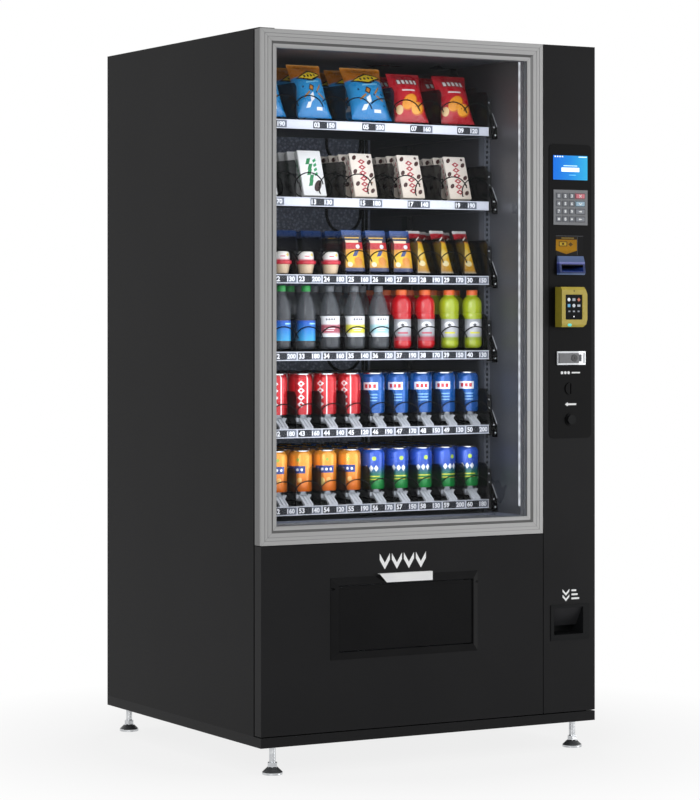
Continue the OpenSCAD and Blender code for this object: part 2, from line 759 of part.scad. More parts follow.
// Delivery flap hung on two pins at the top.
module delivery_flap() {
  x0 = bay_x + bay_border;
  x1 = bay_x + bay_w - bay_border;
  color("#1b1b1d") in_frame() {
    slab([x0 + 1, flap_axis_y - flap_t / 2, bay_z + bay_border + 2],
      [x1 - 1, flap_axis_y + flap_t / 2, flap_axis_z + 7]);
    rod_x([x0 - 2.6, flap_axis_y, flap_axis_z], 3, x1 - x0 + 5.2);
    slab([x0 + 6, flap_axis_y, bay_z + bay_border + 2], [x1 - 6, flap_axis_y + 8, bay_z + bay_border + 12]);
  }
}

// Delivery bin behind the flap with the hopper that leads the goods into it.
module delivery_bin() {
  x0 = bay_x - 13;
  x1 = bay_x + bay_w + 13;
  t = bin_t;
  y0 = door_t + 0.1;
  color("#26282b") in_frame()
    difference() {
      union() {
        along_x(x0, x1) polygon([[y0, 262], [240, 262], [240, 480], [186, 540], [186, 636], [y0, 636]]);
        along_y(y0, 186) polygon([[x0, 500], [x1, 500], [tray_x1 - 4, 612], [tray_x1 - 4, 636],
          [tray_x + 4, 636], [tray_x + 4, 612]]);
      }
      along_x(x0 + t, x1 - t) polygon([[y0 + t, 262 + t], [240 - t, 262 + t], [240 - t, 479], [186 - t, 539],
        [186 - t, 640], [y0 + t, 640]]);
      along_y(y0 + t, 186 - t) polygon([[x0 + t, 500], [x1 - t, 500], [tray_x1 - 4 - t, 613],
        [tray_x1 - 4 - t, 640], [tray_x + 4 + t, 640], [tray_x + 4 + t, 613]]);
      slab([bay_x + bay_border, 30, bay_z + bay_border],
        [bay_x + bay_w - bay_border, y0 + t + 1, bay_z + bay_h - bay_border]);
    }
}

// Light bars on the door's rear, left and right of the window.
module led_strips() {
  color("#f2f4f6") in_frame()
    for (x = [36.5, 821])
      slab([x, door_t + 0.1, 668], [x + 13, door_t + 11, 1882]);
}

// One tray: deck with its lip and price rail, latches, back plate, runners, dividers and motors.
module tray(i, lanes) {
  n = 10 / lanes;
  z = deck(i);
  color("#3c3e42") in_frame() {
    slab([tray_x, tray_y, z - tray_sheet], [tray_x1, tray_y1, z]);
    slab([tray_x, tray_y, z - lip_h], [tray_x1, tray_y + tray_sheet, z - 1]);
    along_x(tray_x, tray_x1) polygon([[tray_y - gap, z - lip_h], [tray_y - rail_d, z - lip_h],
      [tray_y - rail_d, z - lip_h + rail_t], [tray_y - rail_t, z - lip_h + rail_t],
      [tray_y - rail_t, z - rail_t], [tray_y - rail_d, z - rail_t], [tray_y - rail_d, z], [tray_y - gap, z]]);
    for (x = [tray_x - gap - latch_w, tray_x1 + gap])
      along_x(x, x + latch_w) polygon([[tray_y + 4, z - 30], [tray_y + 10, z - 30], [tray_y + 25, z + 46],
        [tray_y + 25, z + 84], [tray_y + 15, z + 84], [tray_y + 12, z + 30], [tray_y + 4, z + 4]]);
    for (x = [tray_x, tray_x1 - 7])
      slab([x, tray_y + 12, z - lip_h], [x + 7, tray_y1, z - tray_sheet - gap]);
    difference() {
      slab([tray_x, tray_y1 - tray_sheet, z + gap], [tray_x1, tray_y1, z + 92]);
      for (k = [1 : 10])
        rod_y([lane_x(k), tray_y1 - 5, z + coil_axis], hub_r + 1.5, 10);
    }
    for (k = [0 : lanes]) {
      x = min(max(tray_x + k * n * lane - 0.6, tray_x), tray_x1 - 1.2);
      along_x(x, x + 1.2) polygon([[tray_y + 4, z + gap], [tray_y1 - 4, z + gap],
        [tray_y1 - 4, z + divider_h], [tray_y + 16, z + divider_h], [tray_y + 4, z + divider_h - 12]]);
    }
    for (k = [1 : 10])
      slab([lane_x(k) - 30, tray_y1 + gap, z + 4], [lane_x(k) + 30, tray_y1 + 34, z + 66]);
  }
}

// Half a turn of wire; the upper and the lower halves lean opposite ways.
module half_turn(up) {
  lean = atan2(coil_pitch / 4, coil_r);
  rotate([0, 0, up ? -lean : lean]) rotate([up ? 90 : -90, 0, 0]) translate([0, coil_r - arc_r, 0])
    rotate([0, 0, 90.4 - arc_half]) rotate_extrude(angle = 2 * arc_half - 0.8)
      translate([arc_r, 0]) circle(wire_r);
}

// A spiral along y with its hub, from its first half turn on; short ferrules join the half turns.
module coil(first) {
  for (h = [first : 2 * coil_turns - 1])
    translate([0, (h + 0.5) / 2 * coil_pitch, 0]) half_turn(h % 2 == 0);
  for (h = [first : 2 * coil_turns])
    translate([h % 2 == 0 ? coil_r : -coil_r, h / 2 * coil_pitch, -sleeve_h / 2])
      cylinder(r = sleeve_r, h = sleeve_h);
  rod_x([0, coil_y1 - coil_y, 0], 1.3, coil_r);
  rod_y([0, coil_y1 - coil_y - 8, 0], hub_r, tray_y1 - 0.5 - coil_y1 + 8);
}

// A spiral in its lane.
module lane_coil(i, k, first) {
  color("#161618") in_frame() translate([lane_x(k), coil_y, deck(i) + coil_axis]) coil(first);
}

// Spirals of one tray from a first lane to the last.
module spirals(i, first) {
  for (k = [first : 10])
    lane_coil(i, k, 0);
}

// Side view of a riser's ramp: a toe on the deck, a sloping plate and the level start of the rails.
module ramp(z, h) {
  polygon([[tray_y + 2, z + gap], [tray_y + 10, z + gap], [tray_y + 21, z + riser_under],
    [ramp_y1, z + riser_under], [ramp_y1, z + h], [tray_y + 35, z + h], [tray_y + 2, z + h - 23]]);
}

// Risers inside the spirals that lift the cans: a deck with a skirt, two rails and a ribbed ramp in front.
module can_risers(i) {
  z = deck(i);
  color("#e6e7e8") in_frame()
    for (k = [1 : 10]) {
      x = lane_x(k);
      for (s = [-1 : 1])
        along_x(x + s * rib_pitch - rib_w / 2, x + s * rib_pitch + rib_w / 2) ramp(z, riser_h);
      along_x(x - rib_pitch, x + rib_pitch) ramp(z, riser_h - riser_t);
      w = riser_w / 2;
      slab([x - w, tray_y + 35, z + riser_h - riser_t], [x + w, coil_y1 - 12, z + riser_h]);
      along_y(tray_y + 35, tray_y + 37) polygon([[x - w, z + riser_h - 1], [x - skirt_w / 2, z + skirt_z],
        [x + skirt_w / 2, z + skirt_z], [x + w, z + riser_h - 1]]);
      for (s = [-rib_pitch, rib_pitch])
        slab([x + s - 2, ramp_y1 - 1, z + riser_under], [x + s + 2, coil_y1 - 12, z + riser_h]);
    }
}

module key_r1c1() { key_cap(1, 1); }
module key_r1c2() { key_cap(1, 2); }
module key_r1c3() { key_cap(1, 3); }
module key_r1c4() { key_cap(1, 4); }
module key_r2c1() { key_cap(2, 1); }
module key_r2c2() { key_cap(2, 2); }
module key_r2c3() { key_cap(2, 3); }
module key_r2c4() { key_cap(2, 4); }
module key_r3c1() { key_cap(3, 1); }
module key_r3c2() { key_cap(3, 2); }
module key_r3c3() { key_cap(3, 3); }
module key_r3c4() { key_cap(3, 4); }
module key_r4c1() { key_cap(4, 1); }
module key_r4c2() { key_cap(4, 2); }
module key_r4c3() { key_cap(4, 3); }
module key_r4c4() { key_cap(4, 4); }
module tray_1() { tray(1, 5); }
module tray_2() { tray(2, 5); }
module tray_3() { tray(3, 10); }
module tray_4() { tray(4, 10); }
module tray_5() { tray(5, 10); }
module tray_6() { tray(6, 10); }
module spirals_1() { spirals(1, 1); }
module spirals_2() { spirals(2, 1); }
module spirals_3() { spirals(3, 1); }
module spirals_4() { spirals(4, 2); }
module spirals_5() { spirals(5, 2); }
module spirals_6() { spirals(6, 2); }
module lane_spiral_4() { lane_coil(4, 1, 0); }
module lane_spiral_5() { lane_coil(5, 1, 1); }
module lane_spiral_6() { lane_coil(6, 1, 1); }
module can_risers_5() { can_risers(5); }
module can_risers_6() { can_risers(6); }

cabinet_shell();
insulated_liner();
base_plinth();
levelling_feet();
tray_uprights();
cooling_unit();
wiring_loom();
door_pan();
window_frame();
window_glass();
door_gasket();
lower_panel();
control_column();
display();
keypad_plate();
bill_acceptor();
coin_changer();
payment_terminal();
lock_plate();
coin_cup();
delivery_frame();
delivery_bin();
led_strips();
delivery_flap();
lock_handle();
change_button();
cooling_fan();
key_r1c1();
key_r1c2();
key_r1c3();
key_r1c4();
key_r2c1();
key_r2c2();
key_r2c3();
key_r2c4();
key_r3c1();
key_r3c2();
key_r3c3();
key_r3c4();
key_r4c1();
key_r4c2();
key_r4c3();
key_r4c4();
tray_1();
tray_2();
tray_3();
tray_4();
tray_5();
tray_6();
spirals_1();
spirals_2();
spirals_3();
spirals_4();
spirals_5();
spirals_6();
lane_spiral_4();
lane_spiral_5();
lane_spiral_6();
can_risers_5();
can_risers_6();
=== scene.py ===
"""Looks of a snack vending machine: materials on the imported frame, wire spirals, goods, labels and light."""

import math
import random

import bmesh
import bpy
from mathutils import Matrix, Vector


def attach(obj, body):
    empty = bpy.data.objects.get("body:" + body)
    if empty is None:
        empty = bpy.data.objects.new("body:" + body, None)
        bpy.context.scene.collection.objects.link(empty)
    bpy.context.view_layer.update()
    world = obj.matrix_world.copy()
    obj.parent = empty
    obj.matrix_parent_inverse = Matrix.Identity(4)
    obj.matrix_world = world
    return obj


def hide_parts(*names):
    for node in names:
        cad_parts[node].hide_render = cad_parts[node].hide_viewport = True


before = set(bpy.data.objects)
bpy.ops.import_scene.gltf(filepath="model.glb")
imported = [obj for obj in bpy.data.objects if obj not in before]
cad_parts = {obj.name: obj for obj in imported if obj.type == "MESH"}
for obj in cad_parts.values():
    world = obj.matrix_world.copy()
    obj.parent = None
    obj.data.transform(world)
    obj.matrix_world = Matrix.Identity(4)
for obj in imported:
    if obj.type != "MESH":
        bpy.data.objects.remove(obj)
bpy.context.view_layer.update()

# Sizes of the machine in mm, as in the part's source: trays, lanes, spirals, can risers and window frame.
DECK_1, DECK_STEP = 1710.0, 206.2
LANE_X0, LANE = 58.0, 75.6
COIL_R, WIRE_R, COIL_PITCH, COIL_TURNS = 31.0, 2.0, 89.0, 6
COIL_Y0, COIL_AXIS, HUB_Y1 = 171.0, 35.5, 797.5
CAN_FOOT = 28.2
FRAME_X1, FRAME_Z0, FRAME_Z1 = 868.5, 595.0, 1927.2
TRAYS = range(1, 7)
KEYS = [(row, column) for row in range(1, 5) for column in range(1, 5)]
# The goods stand in the middle of each turn.
FIRST_Y, ROWS = COIL_Y0 + 0.75 * COIL_PITCH + 4, 5


def at(x, y, z):
    """A place given in mm from the machine's left side, the door's face and the floor."""
    return Vector((x / 1000 - 0.520, y / 1000 - 0.453, z / 1000))


def deck(tray):
    """Height of a tray's deck in mm."""
    return DECK_1 - (tray - 1) * DECK_STEP


def lane_x(lane):
    """Middle of a narrow lane in mm."""
    return LANE_X0 + (lane - 0.5) * LANE


def wide_x(lane):
    """Middle of a wide lane in mm; the two upper trays have five of them."""
    return LANE_X0 + (2 * lane - 1) * LANE


def linear(code):
    """The linear colour of an sRGB hex code."""
    parts = [int(code[i : i + 2], 16) / 255 for i in (1, 3, 5)]
    return [c / 12.92 if c <= 0.04045 else ((c + 0.055) / 1.055) ** 2.4 for c in parts] + [1.0]


# Shader nodes


def feed(socket, value):
    """Leads a link to a socket, or sets a number or a hex colour on it."""
    if isinstance(value, bpy.types.NodeSocket):
        socket.id_data.links.new(value, socket)
    else:
        socket.default_value = linear(value) if isinstance(value, str) else value


def add(tree, kind, inputs=(), out=0, stops=(), **settings):
    """One shader node: inputs by order or by name, the output it gives, a ramp's stops and its settings."""
    node = tree.nodes.new("ShaderNode" + kind)
    for key, value in settings.items():
        setattr(node, key, value)
    for key, value in inputs.items() if isinstance(inputs, dict) else enumerate(inputs):
        feed(node.inputs[key], value)
    if stops:
        ramp = node.color_ramp.elements
        while len(ramp) < len(stops):
            ramp.new(0.5)
        for element, (place, tone) in zip(ramp, stops):
            element.position = place
            element.color = linear(tone) if isinstance(tone, str) else tone
    return node.outputs[out]


def blank(name):
    """A new material with its tree, its shader and the place on the piece."""
    material = bpy.data.materials.new(name)
    material.use_nodes = True
    tree = material.node_tree
    return material, tree, tree.nodes["Principled BSDF"], add(tree, "TexCoord", out="Object")


def dress(skin, **sockets):
    """Feeds the shader's sockets; an underscore stands for the space in a socket's name."""
    for key, value in sockets.items():
        feed(skin.inputs[key.replace("_", " ")], value)


# A mix node that blends two colours: its factor is input 0 and its colours are inputs 6 and 7.
BLEND = {"out": 2, "data_type": "RGBA"}


def tinted(tree, place, size_mm, dark, light, detail=4.0):
    """A tone that drifts between two colours in clouds of a given size."""
    cloud = add(tree, "TexNoise", {"Vector": place, "Scale": 1000 / size_mm, "Detail": detail})
    return add(tree, "ValToRGB", [cloud], stops=[(0.3, dark), (0.7, light)])


def wavering(tree, place, size_mm, least, most, detail=4.0):
    """A value that wavers between two others in clouds of a given size."""
    cloud = add(tree, "TexNoise", {"Vector": place, "Scale": 1000 / size_mm, "Detail": detail})
    return add(tree, "MapRange", [cloud, 0.3, 0.7, least, most])


def grained(tree, place, size_mm, strength, detail=4.0, deep=0.001):
    """The relief of a grain of a given size."""
    cloud = add(tree, "TexNoise", {"Vector": place, "Scale": 1000 / size_mm, "Detail": detail})
    return add(tree, "Bump", {"Height": cloud, "Strength": strength, "Distance": deep})


def within(tree, place, **ranges):
    """1 inside a box and 0 outside it: each range is the least and the greatest mm along X, Y or Z."""
    axes = add(tree, "SeparateXYZ", [place]).node.outputs
    mask = 1.0
    for axis, ends in ranges.items():
        low, high = (at(end, end, end)["XYZ".index(axis)] for end in ends)
        test = add(tree, "Math", [axes[axis], (low + high) / 2, (high - low) / 2], operation="COMPARE")
        mask = add(tree, "Math", [mask, test], operation="MULTIPLY")
    return mask


def surface(name, code, rough, spread=0.12, cloud_mm=220, grain_mm=3, grain=0.05, worn=None, **sockets):
    """A coat, metal or plastic: cloudy tone, uneven gloss, a fine grain and, if worn, paler edges."""
    material, tree, skin, place = blank(name)
    base = linear(code)[:3]
    dark, light = ([min(1.0, c * share) for c in base] + [1.0] for share in (1 - spread, 1 + spread))
    tone = tinted(tree, place, cloud_mm, dark, light, 5.0)
    if worn:
        soft = add(tree, "Bevel", {"Radius": 0.0016}, samples=4)
        flat = add(tree, "NewGeometry", out="Normal")
        bend = add(tree, "VectorMath", [soft, flat], "Value", operation="DOT_PRODUCT")
        rim = add(tree, "MapRange", [bend, 0.99, 0.8, 0.0, 1.0])
        cloud = add(tree, "TexNoise", {"Vector": place, "Scale": 1000 / cloud_mm, "Detail": 5.0})
        rub = add(tree, "Math", [rim, cloud], operation="MULTIPLY")
        tone = add(tree, "Mix", {0: rub, 6: tone, 7: worn}, **BLEND)
    gloss = wavering(tree, place, grain_mm, max(0.02, rough - 0.06), rough + 0.06, 3.0)
    relief = grained(tree, place, grain_mm, grain, 3.0)
    dress(skin, Base_Color=tone, Roughness=gloss, Normal=relief, **sockets)
    return material


def two_toned(name, ground, region, other, cloud_mm, grain_mm, grain, **sockets):
    """A finish in two pairs of tones: one over the piece, and the other inside a box of the machine."""
    material, tree, skin, place = blank(name)
    tones = [tinted(tree, place, cloud_mm, *pair) for pair in (ground, other)]
    tone = add(tree, "Mix", {0: within(tree, place, **region), 6: tones[0], 7: tones[1]}, **BLEND)
    dress(skin, Base_Color=tone, Normal=grained(tree, place, grain_mm, grain), **sockets)
    return material


def printed(name, ground, marks=(), rough=0.35, crease=0.01, crease_mm=14, glow=0.0, run="Y", **sockets):
    """A print on a pack: a ground that shades upwards or across, and marks in shares of its width and height.

    A mark is (kind, across, up, half width, half height, colour) and, where it is turned, its turn.
    """
    material, tree, skin, place = blank(name)
    sheet = place.node.outputs["UV"]
    way = add(tree, "SeparateXYZ", [sheet], run)
    tone = add(tree, "ValToRGB", [way], stops=ground)
    for kind, across, high, half_w, half_h, code, *turn in marks:
        spot = {"Location": (across, high, 0), "Rotation": (0, 0, sum(turn)), "Scale": (half_w, half_h, 1)}
        local = add(tree, "Mapping", {"Vector": sheet, **spot}, vector_type="TEXTURE")
        if kind == "disc":
            reach = add(tree, "VectorMath", [local], "Value", operation="LENGTH")
        else:
            size = add(tree, "VectorMath", [local], operation="ABSOLUTE")
            sides = add(tree, "SeparateXYZ", [size]).node.outputs
            step = "ADD" if kind == "lozenge" else "MAXIMUM"
            reach = add(tree, "Math", [sides["X"], sides["Y"]], operation=step)
        inside = add(tree, "Math", [reach, 1.0], operation="LESS_THAN")
        tone = add(tree, "Mix", {0: inside, 6: tone, 7: code}, **BLEND)
    gloss = wavering(tree, place, crease_mm, max(0.03, rough - 0.08), rough + 0.08)
    relief = grained(tree, place, crease_mm, crease, deep=0.002)
    dress(skin, Base_Color=tone, Roughness=gloss, Normal=relief, **sockets)
    if glow:
        dress(skin, Emission_Color=tone, Emission_Strength=glow)
    return material


# Forms. A form is its points in mm, its faces, each face's material and the print's place at each corner.


def form(points, faces, slots=None, prints=None):
    """A form whose print lies flat in width and height unless it is given."""
    if prints is None:
        xs, zs = [p[0] for p in points], [p[2] for p in points]
        left, foot = min(xs), min(zs)
        w, h = max(xs) - left or 1.0, max(zs) - foot or 1.0
        prints = [[((points[i][0] - left) / w, (points[i][2] - foot) / h) for i in f] for f in faces]
    return points, faces, slots or [0] * len(faces), prints


def turned(profile, slots, sides=28):
    """A lathe form from (radius, height) steps; the print's middle faces the door."""
    points, faces, marks, prints = [], [], [], []
    low, high = profile[0][1], max(z for _, z in profile)
    for r, z in profile:
        for s in range(sides):
            a = 2 * math.pi * (s / sides - 0.5)
            points.append((r * math.sin(a), -r * math.cos(a), z))
    for k in range(len(profile) - 1):
        v0, v1 = ((profile[k + j][1] - low) / (high - low) for j in (0, 1))
        for s in range(sides):
            t = (s + 1) % sides
            faces.append([k * sides + s, k * sides + t, (k + 1) * sides + t, (k + 1) * sides + s])
            marks.append(slots[k])
            u0, u1 = s / sides, (s + 1) / sides
            prints.append([(u0, v0), (u1, v0), (u1, v1), (u0, v1)])
    return form(points, faces, marks, prints)


def pillow(width, height, depth, crimp, seed, columns=14, rows=22, pull=0.07):
    """A sealed bag: swollen middle, crimped ends with a toothed edge, and creases that run in from them."""
    chance = random.Random(seed)
    waves = [(chance.uniform(5, 17), chance.uniform(0, 6.3), chance.uniform(0.4, 1.3)) for _ in range(5)]
    points, faces, prints = [], [], []
    for side in (-1, 1):
        for j in range(rows + 1):
            v = j / rows
            inner = min(1.0, max(0.0, (v * height - crimp) / (height - 2 * crimp)))
            swell = math.sin(math.pi * inner) ** 0.55
            for i in range(columns + 1):
                u = i / columns
                belly = swell * (1 - abs(2 * u - 1) ** 2.6) ** 0.75
                fold = sum(a * math.sin(f * u * 6.3 + p + 2 * v) for f, p, a in waves) * 0.35
                fold *= (1 - belly * 0.75) * (0.25 + 0.75 * swell) * (1 - abs(2 * u - 1) ** 4)
                x = (u - 0.5) * width * (1 - pull * swell)
                z = v * height + (1.1 * (i % 2) if j in (0, rows) else 0)
                points.append((x, side * (0.4 + depth / 2 * belly) + fold, z))
    layer = (rows + 1) * (columns + 1)
    for side in (0, 1):
        for j in range(rows):
            for i in range(columns):
                a = side * layer + j * (columns + 1) + i
                ring = [a, a + 1, a + columns + 2, a + columns + 1]
                faces.append(ring if side == 0 else ring[::-1])
    row = columns + 1
    for j in range(rows):
        for i, turn in ((0, 1), (columns, -1)):
            a = j * row + i
            faces.append([a, a + row, a + row + layer, a + layer][::turn])
    for f in faces:
        prints.append([((k % layer % row) / columns, (k % layer // row) / rows) for k in f])
    return form(points, faces, None, prints)


def carton(width, depth, height, edge=1.2):
    """A box with softened edges that stands on its base."""
    bm = bmesh.new()
    bmesh.ops.create_cube(bm, size=1.0)
    bmesh.ops.scale(bm, vec=(width, depth, height), verts=bm.verts)
    bmesh.ops.translate(bm, vec=(0, 0, height / 2), verts=bm.verts)
    bmesh.ops.bevel(bm, geom=bm.edges[:], offset=edge, segments=2, profile=0.5, affect="EDGES")
    bm.verts.ensure_lookup_table()
    points = [tuple(v.co) for v in bm.verts]
    faces = [[v.index for v in f.verts] for f in bm.faces]
    prints = []
    for f in bm.faces:
        across = Vector((1 / width, 0, 0)) if abs(f.normal.x) < 0.7 else Vector((0, 1 / depth, 0))
        prints.append([(v.co.dot(across) + 0.5, v.co.z / height) for v in f.verts])
    bm.free()
    return form(points, faces, None, prints)


def plate(outline, y0, y1, slot=0):
    """A flat sign or sheet: an outline in width and height, from its face y0 back to y1."""
    n = len(outline)
    points = [(x, y0, z) for x, z in outline] + [(x, y1, z) for x, z in outline]
    faces = [list(range(n)), list(range(2 * n - 1, n - 1, -1))]
    faces += [[i, i + n, (i + 1) % n + n, (i + 1) % n] for i in range(n)]
    return form(points, faces, [slot] * len(faces))


def oblong(x0, z0, x1, z1, r=0.0, steps=5):
    """The outline of a rectangle, with round corners where r is given."""
    if not r:
        return [(x0, z0), (x1, z0), (x1, z1), (x0, z1)]
    corners = [(x1 - r, z0 + r, -90), (x1 - r, z1 - r, 0), (x0 + r, z1 - r, 90), (x0 + r, z0 + r, 180)]
    turns = [math.radians(90 * s / steps) for s in range(steps + 1)]
    return [
        (x + r * math.cos(math.radians(a) + turn), z + r * math.sin(math.radians(a) + turn))
        for x, z, a in corners
        for turn in turns
    ]


def disc(x, z, r, sides=24):
    """The outline of a circle."""
    turn = 2 * math.pi / sides
    return [(x + r * math.cos(turn * s), z + r * math.sin(turn * s)) for s in range(sides)]


def bar_along_x(profile, x0, x1, slot=0):
    """A bar along the width from a profile in depth and height."""
    n = len(profile)
    points = [(x0, y, z) for y, z in profile] + [(x1, y, z) for y, z in profile]
    faces = [list(range(n))[::-1], list(range(n, 2 * n))]
    faces += [[i, (i + 1) % n, (i + 1) % n + n, i + n] for i in range(n)]
    return form(points, faces, [slot] * len(faces))


def tube(path, radius, sides=8, slot=0):
    """A round wire along a path of points, closed at its ends."""
    path = [Vector(p) for p in path]
    points, faces = [], []
    side = (path[1] - path[0]).orthogonal()
    for k, p in enumerate(path):
        ahead = (path[min(k + 1, len(path) - 1)] - path[max(k - 1, 0)]).normalized()
        side = (side - ahead * side.dot(ahead)).normalized()
        over = ahead.cross(side)
        for s in range(sides):
            a = 2 * math.pi * s / sides
            points.append(tuple(p + radius * (math.cos(a) * side + math.sin(a) * over)))
    for k in range(len(path) - 1):
        for s in range(sides):
            t = (s + 1) % sides
            faces.append([k * sides + s, k * sides + t, (k + 1) * sides + t, (k + 1) * sides + s])
    last = (len(path) - 1) * sides
    faces += [list(range(sides))[::-1], list(range(last, last + sides))]
    return form(points, faces, [slot] * len(faces))


FIGURES = {}


def figures(text, height, slot=0):
    """Plain numbers as a flat form of a given height that starts at its left foot."""
    if text not in FIGURES:
        curve = bpy.data.curves.new("figures", "FONT")
        curve.body = text
        curve.resolution_u = 3
        curve.offset = 0.04
        holder = bpy.data.objects.new("figures", curve)
        mesh = bpy.data.meshes.new_from_object(holder)
        FIGURES[text] = [tuple(v.co) for v in mesh.vertices], [list(p.vertices) for p in mesh.polygons]
        bpy.data.objects.remove(holder)
        bpy.data.curves.remove(curve)
        bpy.data.meshes.remove(mesh)
    flat, faces = FIGURES[text]
    left, foot = min(p[0] for p in flat), min(p[1] for p in flat)
    scale = height / (max(p[1] for p in flat) - foot)
    points = [((x - left) * scale, 0.0, (y - foot) * scale) for x, y, _ in flat]
    return form(points, faces, [slot] * len(faces))


class Heap:
    """Gathers many forms into one piece."""

    def __init__(self):
        self.points, self.faces, self.slots, self.prints = [], [], [], []

    def put(self, what, move=None, slot=None):
        """Adds a form at a place; a slot given here goes over the form's own."""
        points, faces, slots, prints = what
        first = len(self.points)
        move = move or Matrix()
        self.points += [at(*(move @ Vector(p))) for p in points]
        self.faces += [[first + i for i in f] for f in faces]
        self.slots += slots if slot is None else [slot] * len(faces)
        self.prints += prints

    def piece(self, name, body, materials, edge=38, finish=None):
        """Makes the piece and lets it ride on a body; edges sharper than the angle stay sharp."""
        mesh = bpy.data.meshes.new(name)
        mesh.from_pydata(self.points, [], self.faces)
        for material in materials:
            mesh.materials.append(material)
        mesh.polygons.foreach_set("material_index", self.slots)
        layer = mesh.uv_layers.new(name="print")
        layer.data.foreach_set("uv", [c for corners in self.prints for uv in corners for c in uv])
        mesh.shade_smooth()
        mesh.set_sharp_from_angle(angle=math.radians(edge))
        made = bpy.data.objects.new(name, mesh)
        bpy.context.scene.collection.objects.link(made)
        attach(made, body)
        return made


def moved(x, y, z, lean=0.0, turn=0.0, tilt=0.0):
    """A place in mm, with a lean towards the back, a turn about the upright and a tilt to one side."""
    return (
        Matrix.Translation((x, y, z))
        @ Matrix.Rotation(math.radians(turn), 4, "Z")
        @ Matrix.Rotation(math.radians(-lean), 4, "X")
        @ Matrix.Rotation(math.radians(tilt), 4, "Y")
    )


# Materials of the machine

# Powder coat baked on steel: nearly black, satin, with an orange peel drawn coarser than its real 0.5 mm.
SHELL_COAT = surface(
    "satin_black_powder_coat", "#1c1c1d", 0.42, 0.1, 400, 4, 0.04, worn="#3c3c3e", Specular_IOR_Level=0.048
)
# The same coat on the pressed door panels and the plinth, a touch smoother.
PANEL_COAT = surface(
    "satin_black_coat_on_pressed_panels", "#212122", 0.4, 0.1, 350, 4, 0.03,
    worn="#363638", Specular_IOR_Level=0.06,
)
# Chrome plating: bright, with the odd dull patch from handling.
CHROME = surface("chrome_plating_on_steel", "#c9cbcd", 0.14, 0.06, 30, 2, 0.02, Metallic=1.0)
# Painted glint: a pale, half-metal strip along the latch levers and pale screw heads on them, bright to stand
# in for the glints on the black levers.
GLINT_PAINT = surface("pale_strip_with_painted_glint", "#d4d7dc", 0.3, 0.06, 12, 1.0, 0.03, Metallic=0.25)
# Grey lacquer on the keypad's plate, with a soft sheen.
KEY_PLATE = surface("grey_lacquered_key_plate", "#727478", 0.42, 0.06, 40, 1.5, 0.05)
# Galvanised sheet: grey with soft clouds from the zinc.
ZINC = surface("galvanised_steel_sheet", "#8f9296", 0.42, 0.14, 25, 6, 0.05, Metallic=0.8)
# Moulded plastic in deep black, with a fine spark-eroded texture.
BLACK_PLASTIC = surface(
    "spark_textured_black_plastic", "#101112", 0.45, 0.12, 60, 1.5, 0.08, Specular_IOR_Level=0.1
)
# Polished black plastic: a mirror-like front with faint swirl marks.
GLOSS_BLACK = surface("polished_black_plastic", "#050505", 0.14, 0.1, 90, 8, 0.01, Specular_IOR_Level=0.05)
# The delivery flap's moulded sheet: black with a soft sheen and fine rub marks.
FLAP_BLACK = surface("moulded_black_flap_sheet", "#151516", 0.3, 0.1, 110, 3, 0.02, Specular_IOR_Level=0.05)
# Extruded rubber: matt and slightly dusty.
RUBBER = surface("extruded_black_rubber", "#151516", 0.72, 0.2, 35, 1.2, 0.12)
# Pale grey moulded plastic of the can risers.
RISER_WHITE = surface("moulded_pale_grey_polystyrene", "#bcc0c5", 0.38, 0.04, 50, 2, 0.04)
# Black epoxy on steel wire: smooth with small glints.
WIRE_COAT = surface("epoxy_coated_steel_wire", "#030303", 0.5, 0.15, 40, 2, 0.03, Specular_IOR_Level=0.1)
# Key tops moulded in silicone rubber: soft colours with a fine matt grain, each in a dark rim.
KEY_GREY = surface("moulded_grey_key_tops", "#787c84", 0.4, 0.06, 12, 1.0, 0.05)
KEY_RED = surface("moulded_red_key_top", "#d06c7a", 0.38, 0.08, 12, 1.0, 0.05)
KEY_BLUE = surface("moulded_blue_key_top", "#98b8cc", 0.38, 0.08, 12, 1.0, 0.05)
KEY_RIM = surface("dark_rim_round_the_key_tops", "#24272d", 0.5, 0.08, 12, 1.0, 0.05)
# Screen-printed ink of the signs: even and matt, in white and in black.
WHITE_INK = surface("screen_printed_white_ink", "#fafbfb", 0.5, 0.03, 15, 1.0, 0.04)
BLACK_INK = surface("printed_black_ink", "#060607", 0.5, 0.1, 15, 1.0, 0.04, Specular_IOR_Level=0.1)
# Card slipped into the price rails: matt white, with dark figures and a grey field.
CARD_WHITE = surface("uncoated_white_card", "#f0f2f6", 0.7, 0.03, 20, 0.8, 0.06)
CARD_BLACK = surface("black_printed_card", "#1a1e26", 0.7, 0.05, 20, 0.8, 0.06)
CARD_GREY = surface("grey_printed_card", "#6c727e", 0.7, 0.05, 20, 0.8, 0.06)
# Aluminium of can ends and necks: bright, with fine rolling marks.
CAN_METAL = surface("bare_rolled_aluminium", "#cfd1d3", 0.22, 0.06, 15, 1.5, 0.03, Metallic=1.0)

# A place in mm that lies beyond every edge of the machine.
FAR = 3000.0

# Satin black coat on the column; the raised fascia on it is smoother and darker.
COLUMN_COAT = two_toned(
    "satin_black_coat_with_darker_fascia", ("#1d1d1e", "#212122"), {"Y": (-FAR, -0.2)},
    ("#060607", "#080809"), 300, 4, 0.03, Roughness=0.4, Specular_IOR_Level=0.07,
)
# Satin black coat on the door's pan; the rim round the window is painted grey, painted light standing in for
# the light bars' light on it.
PAN_COAT_WITH_LIT_RIM = two_toned(
    "satin_black_coat_with_painted_lit_window_rim", ("#18181a", "#1c1c1e"), {"X": (26, 842), "Z": (621, 1901)},
    ("#7c7f86", "#868990"), 120, 4, 0.03, Roughness=0.42, Specular_IOR_Level=0.055,
)
